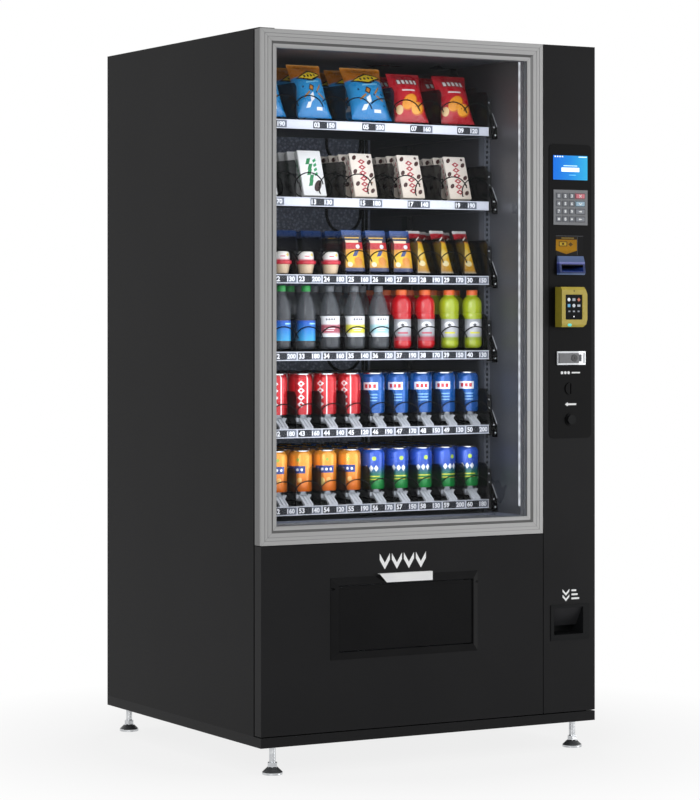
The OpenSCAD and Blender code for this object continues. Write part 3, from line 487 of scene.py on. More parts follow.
# Black rubber of the seals; the spacer between the panes and the strip behind them are painted grey, painted
# light standing in for the light bars' light on the window's inner edge.
SEAL_RUBBER = two_toned(
    "extruded_rubber_with_painted_lit_pane_spacer", ("#131314", "#18181a"), {"Y": (9.4, 34.6)},
    ("#7e8187", "#8a8d93"), 35, 1.2, 0.1, Roughness=0.6, Specular_IOR_Level=0.3,
)
# Coated sheet of the uprights and ledges: pale in front, and darker from 300 mm back, painted shade where the
# back of the compartment gets little light.
UPRIGHT_COAT = two_toned(
    "coated_slotted_upright_with_painted_shade", ("#464a51", "#53575f"), {"Y": (300, FAR)}, ("#2b2d31", "#34363b"),
    60, 3, 0.04, Roughness=0.45,
)
# Spark-textured plastic of the coin cup; its sloping back is painted paler, painted light on a face that looks
# down into the cup's shade.
CUP_PLASTIC = two_toned(
    "spark_textured_plastic_with_painted_lit_back", ("#131415", "#18191a"),
    {"X": (903.7, 999.3), "Y": (0.5, FAR), "Z": (336.4, 388.8)}, ("#2a2a2c", "#303032"),
    40, 1.5, 0.08, Roughness=0.45, Specular_IOR_Level=0.08,
)
# Painted die-cast case of the terminal: olive yellow with a fine grain; its left flank is painted in a darker
# tone, painted shade on the side that gets less light.
TERMINAL_PAINT = two_toned(
    "yellow_painted_die_casting", ("#aa972a", "#b9a435"), {"X": (-FAR, 908.5)}, ("#7c7120", "#887c26"),
    22, 1.5, 0.06, Roughness=0.4,
)


def edge_reach(tree, value, low, high):
    """Distance to the nearer of two edges."""
    gaps = [add(tree, "Math", pair, operation="SUBTRACT") for pair in ([value, low], [high, value])]
    return add(tree, "Math", gaps, operation="MINIMUM")


def frame_skin():
    """Clear anodised extrusion: soft grey with the die's lines, painted shade in the grooves, on the step and
    on the sides behind the face, and dark mitres.
    """
    material, tree, skin, place = blank("anodised_aluminium_extrusion")
    axes = add(tree, "SeparateXYZ", [place]).node.outputs
    across = edge_reach(tree, axes["X"], at(0, 0, 0).x, at(FRAME_X1, 0, 0).x)
    upward = edge_reach(tree, axes["Z"], FRAME_Z0 / 1000, FRAME_Z1 / 1000)
    nearest = add(tree, "Math", [across, upward], operation="MINIMUM")
    inward = add(tree, "Math", [nearest, 1000.0], operation="MULTIPLY")
    # Tones from the outer edge inwards, in mm: two grooves in the face and a step, both darker as painted
    # shade, and the lip.
    bands = (
        (0.0, "#a0a0a0"), (9.8, "#a6a6a6"), (10.3, "#8c8c8c"), (11.9, "#8c8c8c"), (12.4, "#a4a4a4"),
        (18.8, "#a4a4a4"), (19.3, "#909090"), (20.9, "#909090"), (21.4, "#a2a2a2"), (31.0, "#9f9f9f"),
        (31.3, "#484848"), (37.4, "#525252"), (38.2, "#a6a6a6"), (48.0, "#999999"),
    )
    width = 50.0
    share = add(tree, "Math", [inward, width], operation="DIVIDE")
    tone = add(tree, "ValToRGB", [share], stops=[(reach / width, code) for reach, code in bands])
    # The die's lines are 0.9 mm apart; they run along the bars, so they change only inwards.
    die = add(tree, "CombineXYZ", [inward])
    lines = add(tree, "TexNoise", {"Vector": die, "Scale": 1 / 0.9, "Detail": 2.0})
    dulled = add(tree, "MapRange", [lines, 0.35, 0.65, 0.0, 0.25])
    tone = add(tree, "Mix", {0: dulled, 6: tone, 7: "#8f8f8f"}, **BLEND)
    # Dark mitre joints, and painted shade on the sides that lie behind the face.
    joint = add(tree, "Math", [across, upward, 0.0006], operation="COMPARE")
    faint = add(tree, "Math", [joint, 0.6], operation="MULTIPLY")
    joints_and_painted_shade = add(tree, "Math", [faint, within(tree, place, Y=(6.5, FAR))], operation="MAXIMUM")
    tone = add(tree, "Mix", {0: joints_and_painted_shade, 6: tone, 7: "#6c6c6c"}, **BLEND)
    relief = add(tree, "Bump", {"Height": lines, "Strength": 0.05, "Distance": 0.001})
    dress(skin, Base_Color=tone, Normal=relief, Metallic=0.3, Roughness=0.4)
    return material


def liner_skin():
    """Dark coated sheet of the compartment: stucco embossing on the back wall, smooth elsewhere; painted light
    and shade on the side walls, and a painted glow on the back wall.
    """
    material, tree, skin, place = blank("dark_precoated_stucco_sheet")
    axes = add(tree, "SeparateXYZ", [place]).node.outputs
    stucco = add(tree, "MapRange", [axes["Y"], at(0, 884, 0).y, at(0, 888, 0).y, 0.0, 1.0])
    # The embossing's pips are about 9 mm apart.
    pips = add(tree, "TexVoronoi", {"Vector": place, "Scale": 110.0, "Randomness": 0.85})
    rise = add(tree, "MapRange", [axes["Z"], 0.64, 1.89, 0.0, 1.0])
    # Painted light and shade on the side walls: darker at the foot, lightest a little above mid-height and
    # dark at the top.
    stops = [(0.0, "#32363f"), (0.6, "#424449"), (0.86, "#39373b"), (1.0, "#221e20")]
    wall = add(tree, "ValToRGB", [rise], stops=stops)
    middle = tinted(tree, place, 250, "#35383e", "#3e4248")
    plain = add(tree, "Mix", {0: within(tree, place, X=(40, 832)), 6: wall, 7: middle}, **BLEND)
    plain = add(tree, "Mix", {0: within(tree, place, Z=(-FAR, 642)), 6: plain, 7: "#737988"}, **BLEND)
    bossed = add(tree, "ValToRGB", [pips], stops=[(0.0, "#8a92a6"), (0.6, "#565c6a")])
    height = add(tree, "Math", [pips, stucco], operation="MULTIPLY")
    # Painted light: the stucco back wall glows in its own tones, standing in for the light of the bars that
    # reaches it between the trays; the glow is weaker towards the right, painted shade where that part lies in
    # shadow.
    glow_falloff = add(tree, "MapRange", [axes["X"], at(150, 0, 0).x, at(650, 0, 0).x, 0.26, 0.16])
    dress(
        skin,
        Base_Color=add(tree, "Mix", {0: stucco, 6: plain, 7: bossed}, **BLEND),
        Emission_Color=bossed,
        Emission_Strength=add(tree, "Math", [stucco, glow_falloff], operation="MULTIPLY"),
        Roughness=wavering(tree, place, 250, 0.26, 0.34),
        Normal=add(tree, "Bump", {"Height": height, "Strength": 0.6, "Distance": 0.002}, invert=True),
    )
    return material


def tray_skin():
    """Coated tray steel with smoked dividers, a white price rail in front and black latches at the ends."""
    material, tree, skin, place = blank("grey_coated_tray_steel_with_smoked_dividers")
    axes = add(tree, "SeparateXYZ", [place]).node.outputs
    rise = add(tree, "Math", [axes["Z"], deck(6) / 1000], operation="SUBTRACT")
    rise = add(tree, "Math", [rise, DECK_STEP / 1000], operation="MODULO")
    above = add(tree, "Math", [rise, 0.053, 0.0525], operation="COMPARE")
    lanes = (LANE_X0 - 0.05, LANE_X0 + 10 * LANE + 0.05)
    dividers = within(tree, place, X=lanes, Y=(-FAR, 795))
    smoked = add(tree, "Math", [above, dividers], operation="MULTIPLY")
    tone = tinted(tree, place, 80, "#2f3134", "#3b3d41", 5.0)
    tone = add(tree, "Mix", {0: smoked, 6: tone, 7: "#0b0b0c"}, **BLEND)
    rail = tinted(tree, place, 60, "#d2d6e0", "#dadde6")
    tone = add(tree, "Mix", {0: within(tree, place, Y=(-FAR, 189.95)), 6: tone, 7: rail}, **BLEND)
    dress(
        skin,
        Base_Color=add(tree, "Mix", {0: within(tree, place, X=lanes), 6: "#0e0f10", 7: tone}, **BLEND),
        Roughness=add(tree, "MapRange", [smoked, 0.0, 1.0, 0.42, 0.1]),
        Alpha=add(tree, "MapRange", [smoked, 0.0, 1.0, 1.0, 0.6]),
        Normal=grained(tree, place, 2.5, 0.04, 2.0),
    )
    return material


def delivery_skin():
    """Polished black border of the delivery bay; the tab folded over its upper edge is white styrene."""
    material, tree, skin, place = blank("polished_black_plastic_with_white_tab")
    folds = [within(tree, place, Z=(503.2, FAR)), within(tree, place, Y=(-FAR, -10.05))]
    tab = add(tree, "Math", folds, operation="MAXIMUM")
    black = tinted(tree, place, 90, "#151516", "#1a1a1b")
    white = tinted(tree, place, 90, "#f2f3f4", "#fbfcfc")
    dress(
        skin,
        Base_Color=add(tree, "Mix", {0: tab, 6: black, 7: white}, **BLEND),
        Roughness=add(tree, "MapRange", [tab, 0.0, 1.0, 0.16, 0.4]),
        Normal=grained(tree, place, 90, 0.02),
        Specular_IOR_Level=0.06,
    )
    return material


def lock_skin():
    """Cast and brushed lock plate: a dull left part, and a right end painted brighter as a painted highlight.
    """
    material, tree, skin, place = blank("brushed_zinc_lock_casting")
    streaks = add(tree, "Mapping", {"Vector": place, "Scale": (0.15, 1, 3)})
    dull = tinted(tree, streaks, 3, "#a2a4a7", "#b6b8bb")
    # The right end's brighter tone is a painted highlight.
    bright = tinted(tree, streaks, 3, "#c0c2c4", "#e2e3e5")
    dress(
        skin,
        Base_Color=add(tree, "Mix", {0: within(tree, place, X=(981.5, FAR)), 6: dull, 7: bright}, **BLEND),
        Roughness=wavering(tree, streaks, 3, 0.32, 0.44),
        Normal=grained(tree, streaks, 3, 0.05),
        Metallic=0.7,
    )
    return material


def paddle_skin():
    """Grey lacquered paddle; the key cylinder set in it is dark steel."""
    material, tree, skin, place = blank("grey_lacquered_paddle_with_dark_cylinder")
    aside = add(tree, "VectorMath", [place, at(967.7, -6.5, 1071.5)], "Value", operation="DISTANCE")
    cylinder = add(tree, "Math", [aside, 0.0098], operation="LESS_THAN")
    grey = tinted(tree, place, 18, "#5c5d60", "#696a6d")
    dark = tinted(tree, place, 18, "#1a1a1c", "#27282a")
    tone = add(tree, "Mix", {0: cylinder, 6: grey, 7: dark}, **BLEND)
    dress(skin, Base_Color=tone, Roughness=0.36, Normal=grained(tree, place, 1.2, 0.04))
    return material


def bill_skin():
    """Blue moulded bezel: slate above, a violet bar over a dark mouth whose slit is painted near-black as
    shade, and a pale rim below.
    """
    material, tree, skin, place = blank("blue_moulded_bezel")
    axes = add(tree, "SeparateXYZ", [place]).node.outputs
    rise = add(tree, "MapRange", [axes["Z"], 1.2995, 1.3507, 0.0, 1.0])
    bands = [
        (0.0, "#7488b0"), (0.07, "#5c709c"), (0.11, "#2a3766"), (0.54, "#2a3766"),
        (0.58, "#444c9c"), (0.66, "#7078bc"), (0.7, "#52648f"), (1.0, "#5d7099"),
    ]
    tone = add(tree, "ValToRGB", [rise], stops=bands)
    # The slit inside the mouth is painted near-black: painted shade deep in the slot.
    shaded_slit = within(tree, place, Z=(1319.5, FAR))
    hollow = add(tree, "Mix", {0: shaded_slit, 6: "#20367a", 7: "#05070e"}, **BLEND)
    mouth = within(tree, place, X=(920.4, 991.2), Z=(1307.1, 1327.9))
    dress(
        skin,
        Base_Color=add(tree, "Mix", {0: mouth, 6: tone, 7: hollow}, **BLEND),
        Roughness=wavering(tree, place, 12, 0.16, 0.28),
        Normal=grained(tree, place, 12, 0.03),
        Coat_Weight=0.1,
        Specular_IOR_Level=0.25,
    )
    return material


# A wave texture of scale 1 repeats every tenth of pi, here in mm.
WAVE_MM = 100 * math.pi


def foot_skin():
    """Levelling feet: a bright pad rim, a dark moulded cone over it and a plated stud."""
    material, tree, skin, place = blank("plated_foot_with_dark_moulded_cone")
    cone = within(tree, place, Z=(7, 18))
    plated = tinted(tree, place, 17, "#b4b6b9", "#d2d4d6", 3.0)
    # Thread of the stud, drawn twice as coarse as its real 2 mm so that it shows.
    turns = {"Vector": place, "Scale": WAVE_MM / 3.948, "Distortion": 0.0}
    thread = add(tree, "TexWave", turns, "Fac", bands_direction="Z")
    dress(
        skin,
        Base_Color=add(tree, "Mix", {0: cone, 6: plated, 7: "#3a3b3d"}, **BLEND),
        Metallic=add(tree, "Math", [1.0, cone], operation="SUBTRACT"),
        Roughness=add(tree, "MapRange", [cone, 0.0, 1.0, 0.16, 0.45]),
        Normal=add(tree, "Bump", {"Height": thread, "Strength": 0.25, "Distance": 0.001}),
    )
    return material


def window_skin():
    """Clear float glass with a breath of grey, whose faint smears show in its gloss."""
    material, tree, skin, place = blank("clear_float_glass")
    dress(skin, Base_Color="#1c2022", Alpha=0.05, IOR=1.5, Roughness=wavering(tree, place, 330, 0.02, 0.08))
    return material


def light_bar_skin():
    """Frosted diffuser over a row of white diodes; the diodes show as brighter dots about 32 mm apart."""
    material, tree, skin, place = blank("frosted_diffuser_over_white_diodes")
    row = {"Vector": place, "Scale": WAVE_MM / 31.583, "Distortion": 0.0}
    dots = add(tree, "TexWave", row, "Fac", bands_direction="Z")
    glow = add(tree, "MapRange", [dots, 0.0, 1.0, 0.4, 0.7])
    dress(skin, Base_Color="#a8acb2", Roughness=0.4, Emission_Color="#f4f8ff", Emission_Strength=glow)
    return material


NODE_SKINS = {
    "cabinet_shell": SHELL_COAT,
    "insulated_liner": liner_skin(),
    "base_plinth": PANEL_COAT,
    "levelling_feet": foot_skin(),
    "tray_uprights": UPRIGHT_COAT,
    "cooling_unit": ZINC,
    "door_pan": PAN_COAT_WITH_LIT_RIM,
    "window_frame": frame_skin(),
    "window_glass": window_skin(),
    "door_gasket": SEAL_RUBBER,
    "lower_panel": PANEL_COAT,
    "control_column": COLUMN_COAT,
    "display": GLOSS_BLACK,
    "keypad_plate": KEY_PLATE,
    "bill_acceptor": bill_skin(),
    "coin_changer": BLACK_PLASTIC,
    "payment_terminal": TERMINAL_PAINT,
    "lock_plate": lock_skin(),
    "coin_cup": CUP_PLASTIC,
    "delivery_frame": delivery_skin(),
    "delivery_bin": ZINC,
    "led_strips": light_bar_skin(),
    "delivery_flap": FLAP_BLACK,
    "lock_handle": paddle_skin(),
    "change_button": BLACK_PLASTIC,
    "cooling_fan": BLACK_PLASTIC,
    "can_risers_5": RISER_WHITE,
    "can_risers_6": RISER_WHITE,
    **dict.fromkeys([f"tray_{tray}" for tray in TRAYS], tray_skin()),
    **dict.fromkeys([f"key_r{row}c{column}" for row, column in KEYS], KEY_GREY),
    "key_r1c4": KEY_RED,
    "key_r2c4": KEY_BLUE,
}

for name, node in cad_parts.items():
    if name in NODE_SKINS:
        node.data.materials.clear()
        node.data.materials.append(NODE_SKINS[name])


# Wire spirals and the hubs that turn them


def spiral(lane, tray):
    """One wire from its free end to the tray's back plate, and its hub.

    A wire that turns round a riser begins half a turn later.
    """
    x0, z0 = lane_x(lane), deck(tray) + COIL_AXIS
    steps = 26
    path = []
    for k in range(steps // 2 if lane == 1 and tray > 4 else 0, COIL_TURNS * steps + 1):
        a = 2 * math.pi * k / steps
        path.append((x0 + COIL_R * math.cos(a), COIL_Y0 + COIL_PITCH * k / steps, z0 + COIL_R * math.sin(a)))
    end = path[-1][1]
    path += [(x0 + COIL_R * 0.7, end + 2, z0), (x0 + 6, end + 3, z0)]
    hub = [(0, 0), (8, 0), (9, 1), (9, 27), (6.5, 28), (6.5, HUB_Y1 - end + 8), (0, HUB_Y1 - end + 8)]
    lying = Matrix.Translation((x0, end - 8, z0)) @ Matrix.Rotation(math.radians(-90), 4, "X")
    return tube(path, WIRE_R - 0.3, 7), turned(hub, [0] * 6, 16), lying


def spirals(name, body, tray, lanes, stand_in):
    """The wires and hubs of some lanes of a tray."""
    heap = Heap()
    for lane in lanes:
        wire, hub, place = spiral(lane, tray)
        heap.put(wire)
        heap.put(hub, place, 1)
    made = heap.piece(name, body, [WIRE_COAT, BLACK_PLASTIC], 50, "spiral_steel")
    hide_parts(stand_in)


for tray in TRAYS:
    first_fixed = 1 if tray < 4 else 2
    spirals(f"wire_spirals_{tray}", f"shelf_{tray}", tray, range(first_fixed, 11), f"spirals_{tray}")
    if tray > 3:
        spirals(f"turning_spiral_{tray}", f"auger_{tray}", tray, [1], f"lane_spiral_{tray}")


# Price cards in the rails of the trays


def price_cards(tray):
    """A card for each lane: a white field with its number and a grey field with a price."""
    foot, head = deck(tray) - 21.4, deck(tray) - 2.6
    white_w, card_w, face, back = 41, 70.5, 187.6, 188.5
    wide = tray < 3
    heap = Heap()
    for lane in range(1, 6 if wide else 11):
        left = wide_x(lane) - (27, 35)[tray - 1] if wide else LANE_X0 + (lane - 1) * LANE + 2.5
        number = (tray - 1) * 10 + (2 * lane - 1 if wide else lane)
        price = str(120 + 10 * ((number * 7) % 9))
        heap.put(plate(oblong(left, foot, left + white_w, head, 2), face, back, 1))
        heap.put(plate(oblong(left + white_w - 1, foot, left + card_w, head, 2), face + 0.1, back, 2))
        heap.put(figures(f"{number:02d}", 14.0), moved(left + 2, face - 0.3, foot + 2.4))
        heap.put(figures(price, 13.4), moved(left + white_w + 1, face - 0.3, foot + 2.7))
    heap.piece(f"price_cards_{tray}", f"shelf_{tray}", [CARD_WHITE, CARD_BLACK, CARD_GREY], 40, "riser_white")


for tray in TRAYS:
    price_cards(tray)


# Goods, with prints that name nothing

FOIL = dict(rough=0.3, crease=0.35, crease_mm=16, Coat_Weight=0.25)
CAN_COAT = dict(rough=0.24, crease_mm=60, Metallic=0.3, Coat_Weight=0.3)
LABEL = dict(rough=0.4, crease=0.05)


def spots(code, half_w, half_h, *places, turn=0.0):
    """Discs of one size and colour on a print."""
    return [("disc", across, high, half_w, half_h, code, turn) for across, high in places]


# Printed foil bag: blue field under an orange top, with pale and dark shapes.
BLUE_BAG = printed(
    "blue_and_orange_printed_foil",
    [(0.0, "#1878b8"), (0.55, "#2a94d0"), (0.7, "#1f86c6"),
     (0.735, "#b4660f"), (0.97, "#c87a1c"), (1.0, "#d09a50")],
    [
        ("lozenge", 0.53, 0.74, 0.44, 0.12, "#1b1a18", 0.12),
        ("lozenge", 0.53, 0.745, 0.36, 0.08, "#e8c828", 0.12),
        *(("disc", u, 0.745 + 0.1 * (u - 0.53), 0.03, 0.026, "#1b1a18") for u in (0.36, 0.47, 0.58, 0.69)),
        ("square", 0.56, 0.62, 0.22, 0.012, "#8cd0f0", 0.1),
        ("lozenge", 0.46, 0.5, 0.1, 0.075, "#2a2018", 0.3),
        ("lozenge", 0.46, 0.5, 0.06, 0.05, "#c07c30", 0.3),
        ("square", 0.7, 0.5, 0.1, 0.018, "#b07a34", 0.7),
        ("square", 0.74, 0.36, 0.1, 0.018, "#b07a34", -0.4),
        ("square", 0.3, 0.38, 0.1, 0.018, "#b07a34", 0.5),
        *spots("#123c64", 0.026, 0.02, (0.22, 0.52), (0.6, 0.42), (0.82, 0.44), (0.84, 0.24)),
        ("lozenge", 0.44, 0.33, 0.07, 0.1, "#f0f4f8", -0.5),
        ("lozenge", 0.32, 0.2, 0.11, 0.05, "#e4ecf2", 0.5),
        ("square", 0.64, 0.14, 0.09, 0.025, "#e8ecf0"),
    ],
    **FOIL,
)
# Printed foil bag: red field with an orange heap at its foot.
RED_BAG = printed(
    "red_printed_foil",
    [(0.0, "#b01824"), (0.5, "#cc1c2c"), (0.93, "#c41a2a"), (1.0, "#9c1420")],
    [
        *(("square", u, 0.79, 0.055, 0.062, "#5c0c14") for u in (0.24, 0.37, 0.5, 0.63, 0.76)),
        *(("square", u, 0.79, 0.038, 0.048, "#f4f2ee") for u in (0.24, 0.37, 0.5, 0.63, 0.76)),
        ("square", 0.46, 0.6, 0.2, 0.016, "#f4ece6"),
        ("disc", 0.44, 0.36, 0.26, 0.14, "#c85c10", 0.4),
        ("disc", 0.42, 0.37, 0.24, 0.125, "#f09c24", 0.4),
        ("disc", 0.68, 0.24, 0.22, 0.12, "#d06c12", 0.2),
        ("disc", 0.66, 0.25, 0.2, 0.105, "#f4a830", 0.2),
        *spots("#b85810", 0.022, 0.015, (0.36, 0.4), (0.48, 0.35), (0.6, 0.27), (0.72, 0.22)),
        ("disc", 0.12, 0.22, 0.09, 0.09, "#e8c48c"),
    ],
    **FOIL,
)
# Coated board carton: white with green bars and a brown drop.
GREEN_CARTON = printed(
    "white_and_green_coated_board",
    [(0.0, "#f2f3f1"), (1.0, "#fafaf8")],
    [
        *(("lozenge", 0.4 + 0.06 * (k % 2), 0.28 + 0.12 * k, 0.15, 0.07, "#1f8a50", 0.5) for k in range(5)),
        *(("square", 0.68, 0.48 + 0.1 * k, 0.07, 0.03, "#2fa064", 0.3) for k in range(4)),
        ("disc", 0.68, 0.22, 0.19, 0.1, "#3a2420", 0.5),
    ],
    rough=0.4,
)
# Coated board carton: cream with a red stripe and brown spots.
CREAM_CARTON = printed(
    "cream_and_red_coated_board",
    [(0.0, "#e9dccb"), (1.0, "#f3eade")],
    [
        *(("lozenge", 0.5, 0.16 + 0.13 * k, 0.17, 0.062, "#b02a38") for k in range(6)),
        *(("lozenge", 0.5, 0.16 + 0.13 * k, 0.07, 0.026, "#f6ece2") for k in range(6)),
        *spots("#46241f", 0.1, 0.05, (0.2, 0.9), (0.84, 0.8), (0.16, 0.58), turn=0.3),
        *spots("#46241f", 0.1, 0.05, (0.86, 0.5), (0.2, 0.3), (0.82, 0.14), turn=0.3),
        ("disc", 0.82, 0.93, 0.06, 0.03, "#46241f"),
        ("disc", 0.84, 0.33, 0.05, 0.026, "#b08c74"),
    ],
    rough=0.4,
)
# Navy film pack: yellow and gold heap under a red crest.
NAVY_PACK = printed(
    "navy_and_yellow_printed_film",
    [(0.0, "#1d2850"), (0.08, "#22305c"), (0.1, "#c88c20"), (0.3, "#e8b428"),
     (0.52, "#e8a030"), (0.55, "#b82830"), (0.69, "#c8242c"), (0.71, "#101a38"),
     (0.86, "#132040"), (0.88, "#213f76"), (1.0, "#294c86")],
    [
        ("disc", 0.4, 0.33, 0.3, 0.15, "#f0c428", 0.3),
        ("disc", 0.7, 0.25, 0.2, 0.1, "#d88a2c"),
        ("disc", 0.27, 0.17, 0.13, 0.06, "#f4e4c0"),
        ("lozenge", 0.62, 0.44, 0.2, 0.07, "#3a4a80", 0.4),
        ("square", 0.46, 0.72, 0.34, 0.028, "#f0d8b8"),
        ("square", 0.5, 0.81, 0.36, 0.012, "#e0b040"),
        ("disc", 0.75, 0.6, 0.1, 0.05, "#e8ecf4"),
    ],
    rough=0.3,
    Coat_Weight=0.25,
)
# Painted shade: the navy packs a row back, behind the cups, take a copy of their print darkened to near black
# below the top band.
NAVY_PACK_SHADED = printed(
    "navy_film_in_painted_shade", [(0.0, "#0a1122"), (0.84, "#0d1730"), (0.87, "#1c3868"), (1.0, "#24447c")], rough=0.3
)
# Slim yellow sachet with a red and silver head.
SLIM_PACK = printed(
    "yellow_printed_sachet",
    [(0.0, "#b8b0a0"), (0.06, "#c89020"), (0.3, "#e8b422"), (0.66, "#f0c030"),
     (0.7, "#d87830"), (0.72, "#2a1c14"), (0.79, "#2a1c14"), (0.81, "#a01c28"),
     (0.92, "#b82834"), (0.94, "#d8d6d4"), (1.0, "#f0eeec")],
    [
        ("lozenge", 0.5, 0.4, 0.3, 0.14, "#f6d468"),
        ("disc", 0.5, 0.2, 0.24, 0.06, "#f8e8b0"),
        ("square", 0.5, 0.755, 0.26, 0.016, "#f0ece4", 0.3),
    ],
    **FOIL,
)
# Cups: a white lid with a wash of pink and yellow, a red collar and a cream body.
CUP_LID = printed(
    "moulded_white_cup_lid",
    [(0.0, "#f4f2f0"), (0.62, "#e88890"), (0.68, "#f6f2ee"), (1.0, "#f8f4e8")],
    [("lozenge", 0.56, 0.84, 0.05, 0.08, "#f0d870"), ("square", 0.45, 0.78, 0.05, 0.02, "#d84858")],
    rough=0.35,
)
CUP_COLLAR = surface("moulded_red_cup_collar", "#c82c3c", 0.35, 0.08, 20, 2, 0.04)
CUP_BODY = surface("thin_cream_cup_wall", "#e2c8a6", 0.4, 0.05, 20, 2, 0.05)
# Cans: printed lacquer over bright metal.
RED_CAN = printed(
    "red_lacquer_on_can",
    [(0.0, "#b4161f"), (0.5, "#d01a26"), (1.0, "#c41822")],
    [
        *(("lozenge", 0.42, v, 0.05, 0.075, "#f6f0f0") for v in (0.28, 0.44, 0.6, 0.76)),
        *(("lozenge", 0.42, v, 0.022, 0.033, "#d01a26") for v in (0.28, 0.44, 0.6, 0.76)),
        ("square", 0.51, 0.5, 0.009, 0.6, "#f2e2e2"),
        ("square", 0.34, 0.5, 0.005, 0.6, "#7c0f16"),
    ],
    **CAN_COAT,
)
BLUE_CAN = printed(
    "blue_lacquer_on_can",
    [(0.0, "#12509c"), (0.5, "#1762b4"), (1.0, "#11509c")],
    [
        ("square", 0.43, 0.68, 0.11, 0.09, "#eef1f6"),
        *(("square", u, 0.68, 0.02, 0.045, "#c8303c") for u in (0.37, 0.43, 0.49)),
        *(("square", 0.43, v, 0.1, 0.014, "#8cc0ec") for v in (0.48, 0.41, 0.34)),
        ("square", 0.26, 0.5, 0.03, 0.6, "#2c7ccc"),
    ],
    **CAN_COAT,
)
ORANGE_CAN = printed(
    "orange_lacquer_on_can",
    [(0.0, "#e06a1c"), (0.4, "#f08a24"), (0.8, "#f8a636"), (1.0, "#f09c30")],
    [
        ("square", 0.43, 0.55, 0.14, 0.085, "#263c84"),
        *(("disc", u, 0.55, 0.017, 0.032, "#f2f2f6") for u in (0.34, 0.4, 0.46, 0.52)),
        ("disc", 0.39, 0.27, 0.05, 0.09, "#f8dc84"),
        ("disc", 0.49, 0.31, 0.032, 0.058, "#f6c470"),
        ("lozenge", 0.47, 0.78, 0.03, 0.05, "#9cb848"),
    ],
    **CAN_COAT,
)
GREEN_CAN = printed(
    "blue_to_green_lacquer_on_can",
    [(0.0, "#1c9640"), (0.3, "#178a44"), (0.42, "#176464"), (0.6, "#2450b4"), (1.0, "#2c5ccc")],
    [
        *(("lozenge", u, 0.53, 0.032, 0.075, "#f2f6f8") for u in (0.36, 0.43, 0.5)),
        *(("square", 0.43, v, 0.12, 0.014, "#dce048") for v in (0.34, 0.27)),
        ("disc", 0.47, 0.76, 0.03, 0.05, "#b8dc50"),
    ],
    **CAN_COAT,
)


def drink(name, code, clear, rough=0.1):
    """Drink in a clear moulded bottle: clear ones let the lane behind show through."""
    return surface(name, code, rough, 0.1, 30, 6, 0.03, Alpha=clear, Coat_Weight=0.6, IOR=1.45)


# Bottles: drinks seen through clear walls, wrap labels and ribbed caps.
WATER = drink("clear_water_in_moulded_bottle", "#62666a", 0.45)
RED_DRINK = drink("red_drink_in_moulded_bottle", "#c4141e", 0.96)
LIME_DRINK = drink("lime_drink_in_moulded_bottle", "#a4b41c", 0.96)
CAP_GREEN = surface("ribbed_green_cap", "#2c9c48", 0.4, 0.06, 12, 1.5, 0.05)
CAP_GREY = surface("ribbed_grey_cap", "#6c7074", 0.4, 0.06, 12, 1.5, 0.05)
CAP_ORANGE = surface("ribbed_orange_cap", "#e0662c", 0.4, 0.06, 12, 1.5, 0.05)
BLUE_LABEL = printed(
    "blue_printed_wrap",
    [(0.0, "#48c0e8"), (0.3, "#2c84dc"), (0.45, "#2450c0"), (0.6, "#3a58d0"), (1.0, "#3050c8")],
    [("lozenge", 0.5, 0.5, 0.12, 0.06, "#f2f4fa", 0.2), ("square", 0.55, 0.38, 0.08, 0.012, "#a8e0f8")],
    **LABEL,
)


def pale_label(name, tint):
    """A white wrap with a tinted foot."""
    return printed(
        name,
        [(0.0, "#e8ecee"), (0.21, "#e8ecee"), (0.24, tint),
         (0.35, tint), (0.38, "#f0f1f2"), (1.0, "#e4e6e8")],
        [
            *(("square", u, 0.45, 0.011, 0.016, "#54585c") for u in (0.4, 0.44, 0.48, 0.52)),
            ("square", 0.45, 0.3, 0.08, 0.007, "#f6f6f6"), ("square", 0.45, 0.27, 0.06, 0.005, "#f6f6f6"),
        ],
        **LABEL,
    )


PINK_LABEL = pale_label("white_and_pink_printed_wrap", "#b85c6c")
SUN_LABEL = pale_label("white_and_yellow_printed_wrap", "#e8e04c")
ICE_LABEL = pale_label("white_and_ice_blue_printed_wrap", "#b4e4ec")
RED_WRAP = printed(
    "silver_and_red_printed_wrap",
    [(0.0, "#b04050"), (0.16, "#b04050"), (0.2, "#a8a8ac"),
     (0.32, "#c8cace"), (0.5, "#96989c"), (1.0, "#a42430")],
    [("disc", 0.44, 0.38, 0.09, 0.06, "#f4f4f4"), ("lozenge", 0.44, 0.38, 0.035, 0.03, "#5c5e62"),
     ("square", 0.45, 0.24, 0.09, 0.014, "#c05868")],
    **LABEL,
)
LIME_WRAP = printed(
    "silver_and_lime_printed_wrap",
    [(0.0, "#8c9c20"), (0.15, "#8c9c20"), (0.18, "#b0b2b4"),
     (0.32, "#c8cace"), (0.5, "#96989c"), (1.0, "#a0b020")],
    [("disc", 0.44, 0.38, 0.09, 0.06, "#f4f4f4"), ("lozenge", 0.44, 0.38, 0.035, 0.03, "#5c5e62"),
     ("square", 0.45, 0.24, 0.09, 0.014, "#dcdc30")],
    **LABEL,
)

CAN_FORM = turned(
    [(0, 4), (17, 3), (22, 0), (23.5, 0), (25, 2), (30.5, 9), (32, 13), (32, 104), (30.5, 109.5),
     (26.5, 115.5), (27, 117), (27.3, 118.7), (26.6, 119.5), (25.6, 118.7), (24.6, 115),
     (18, 115.2), (0, 115.2)],
    [1] * 5 + [0] * 4 + [1] * 7,
)
TAB_FORM = plate([(x * 8.5 + 2, z * 12 - 3) for x, z in disc(0, 0, 1, 14)], -0.6, 0.6, 1)


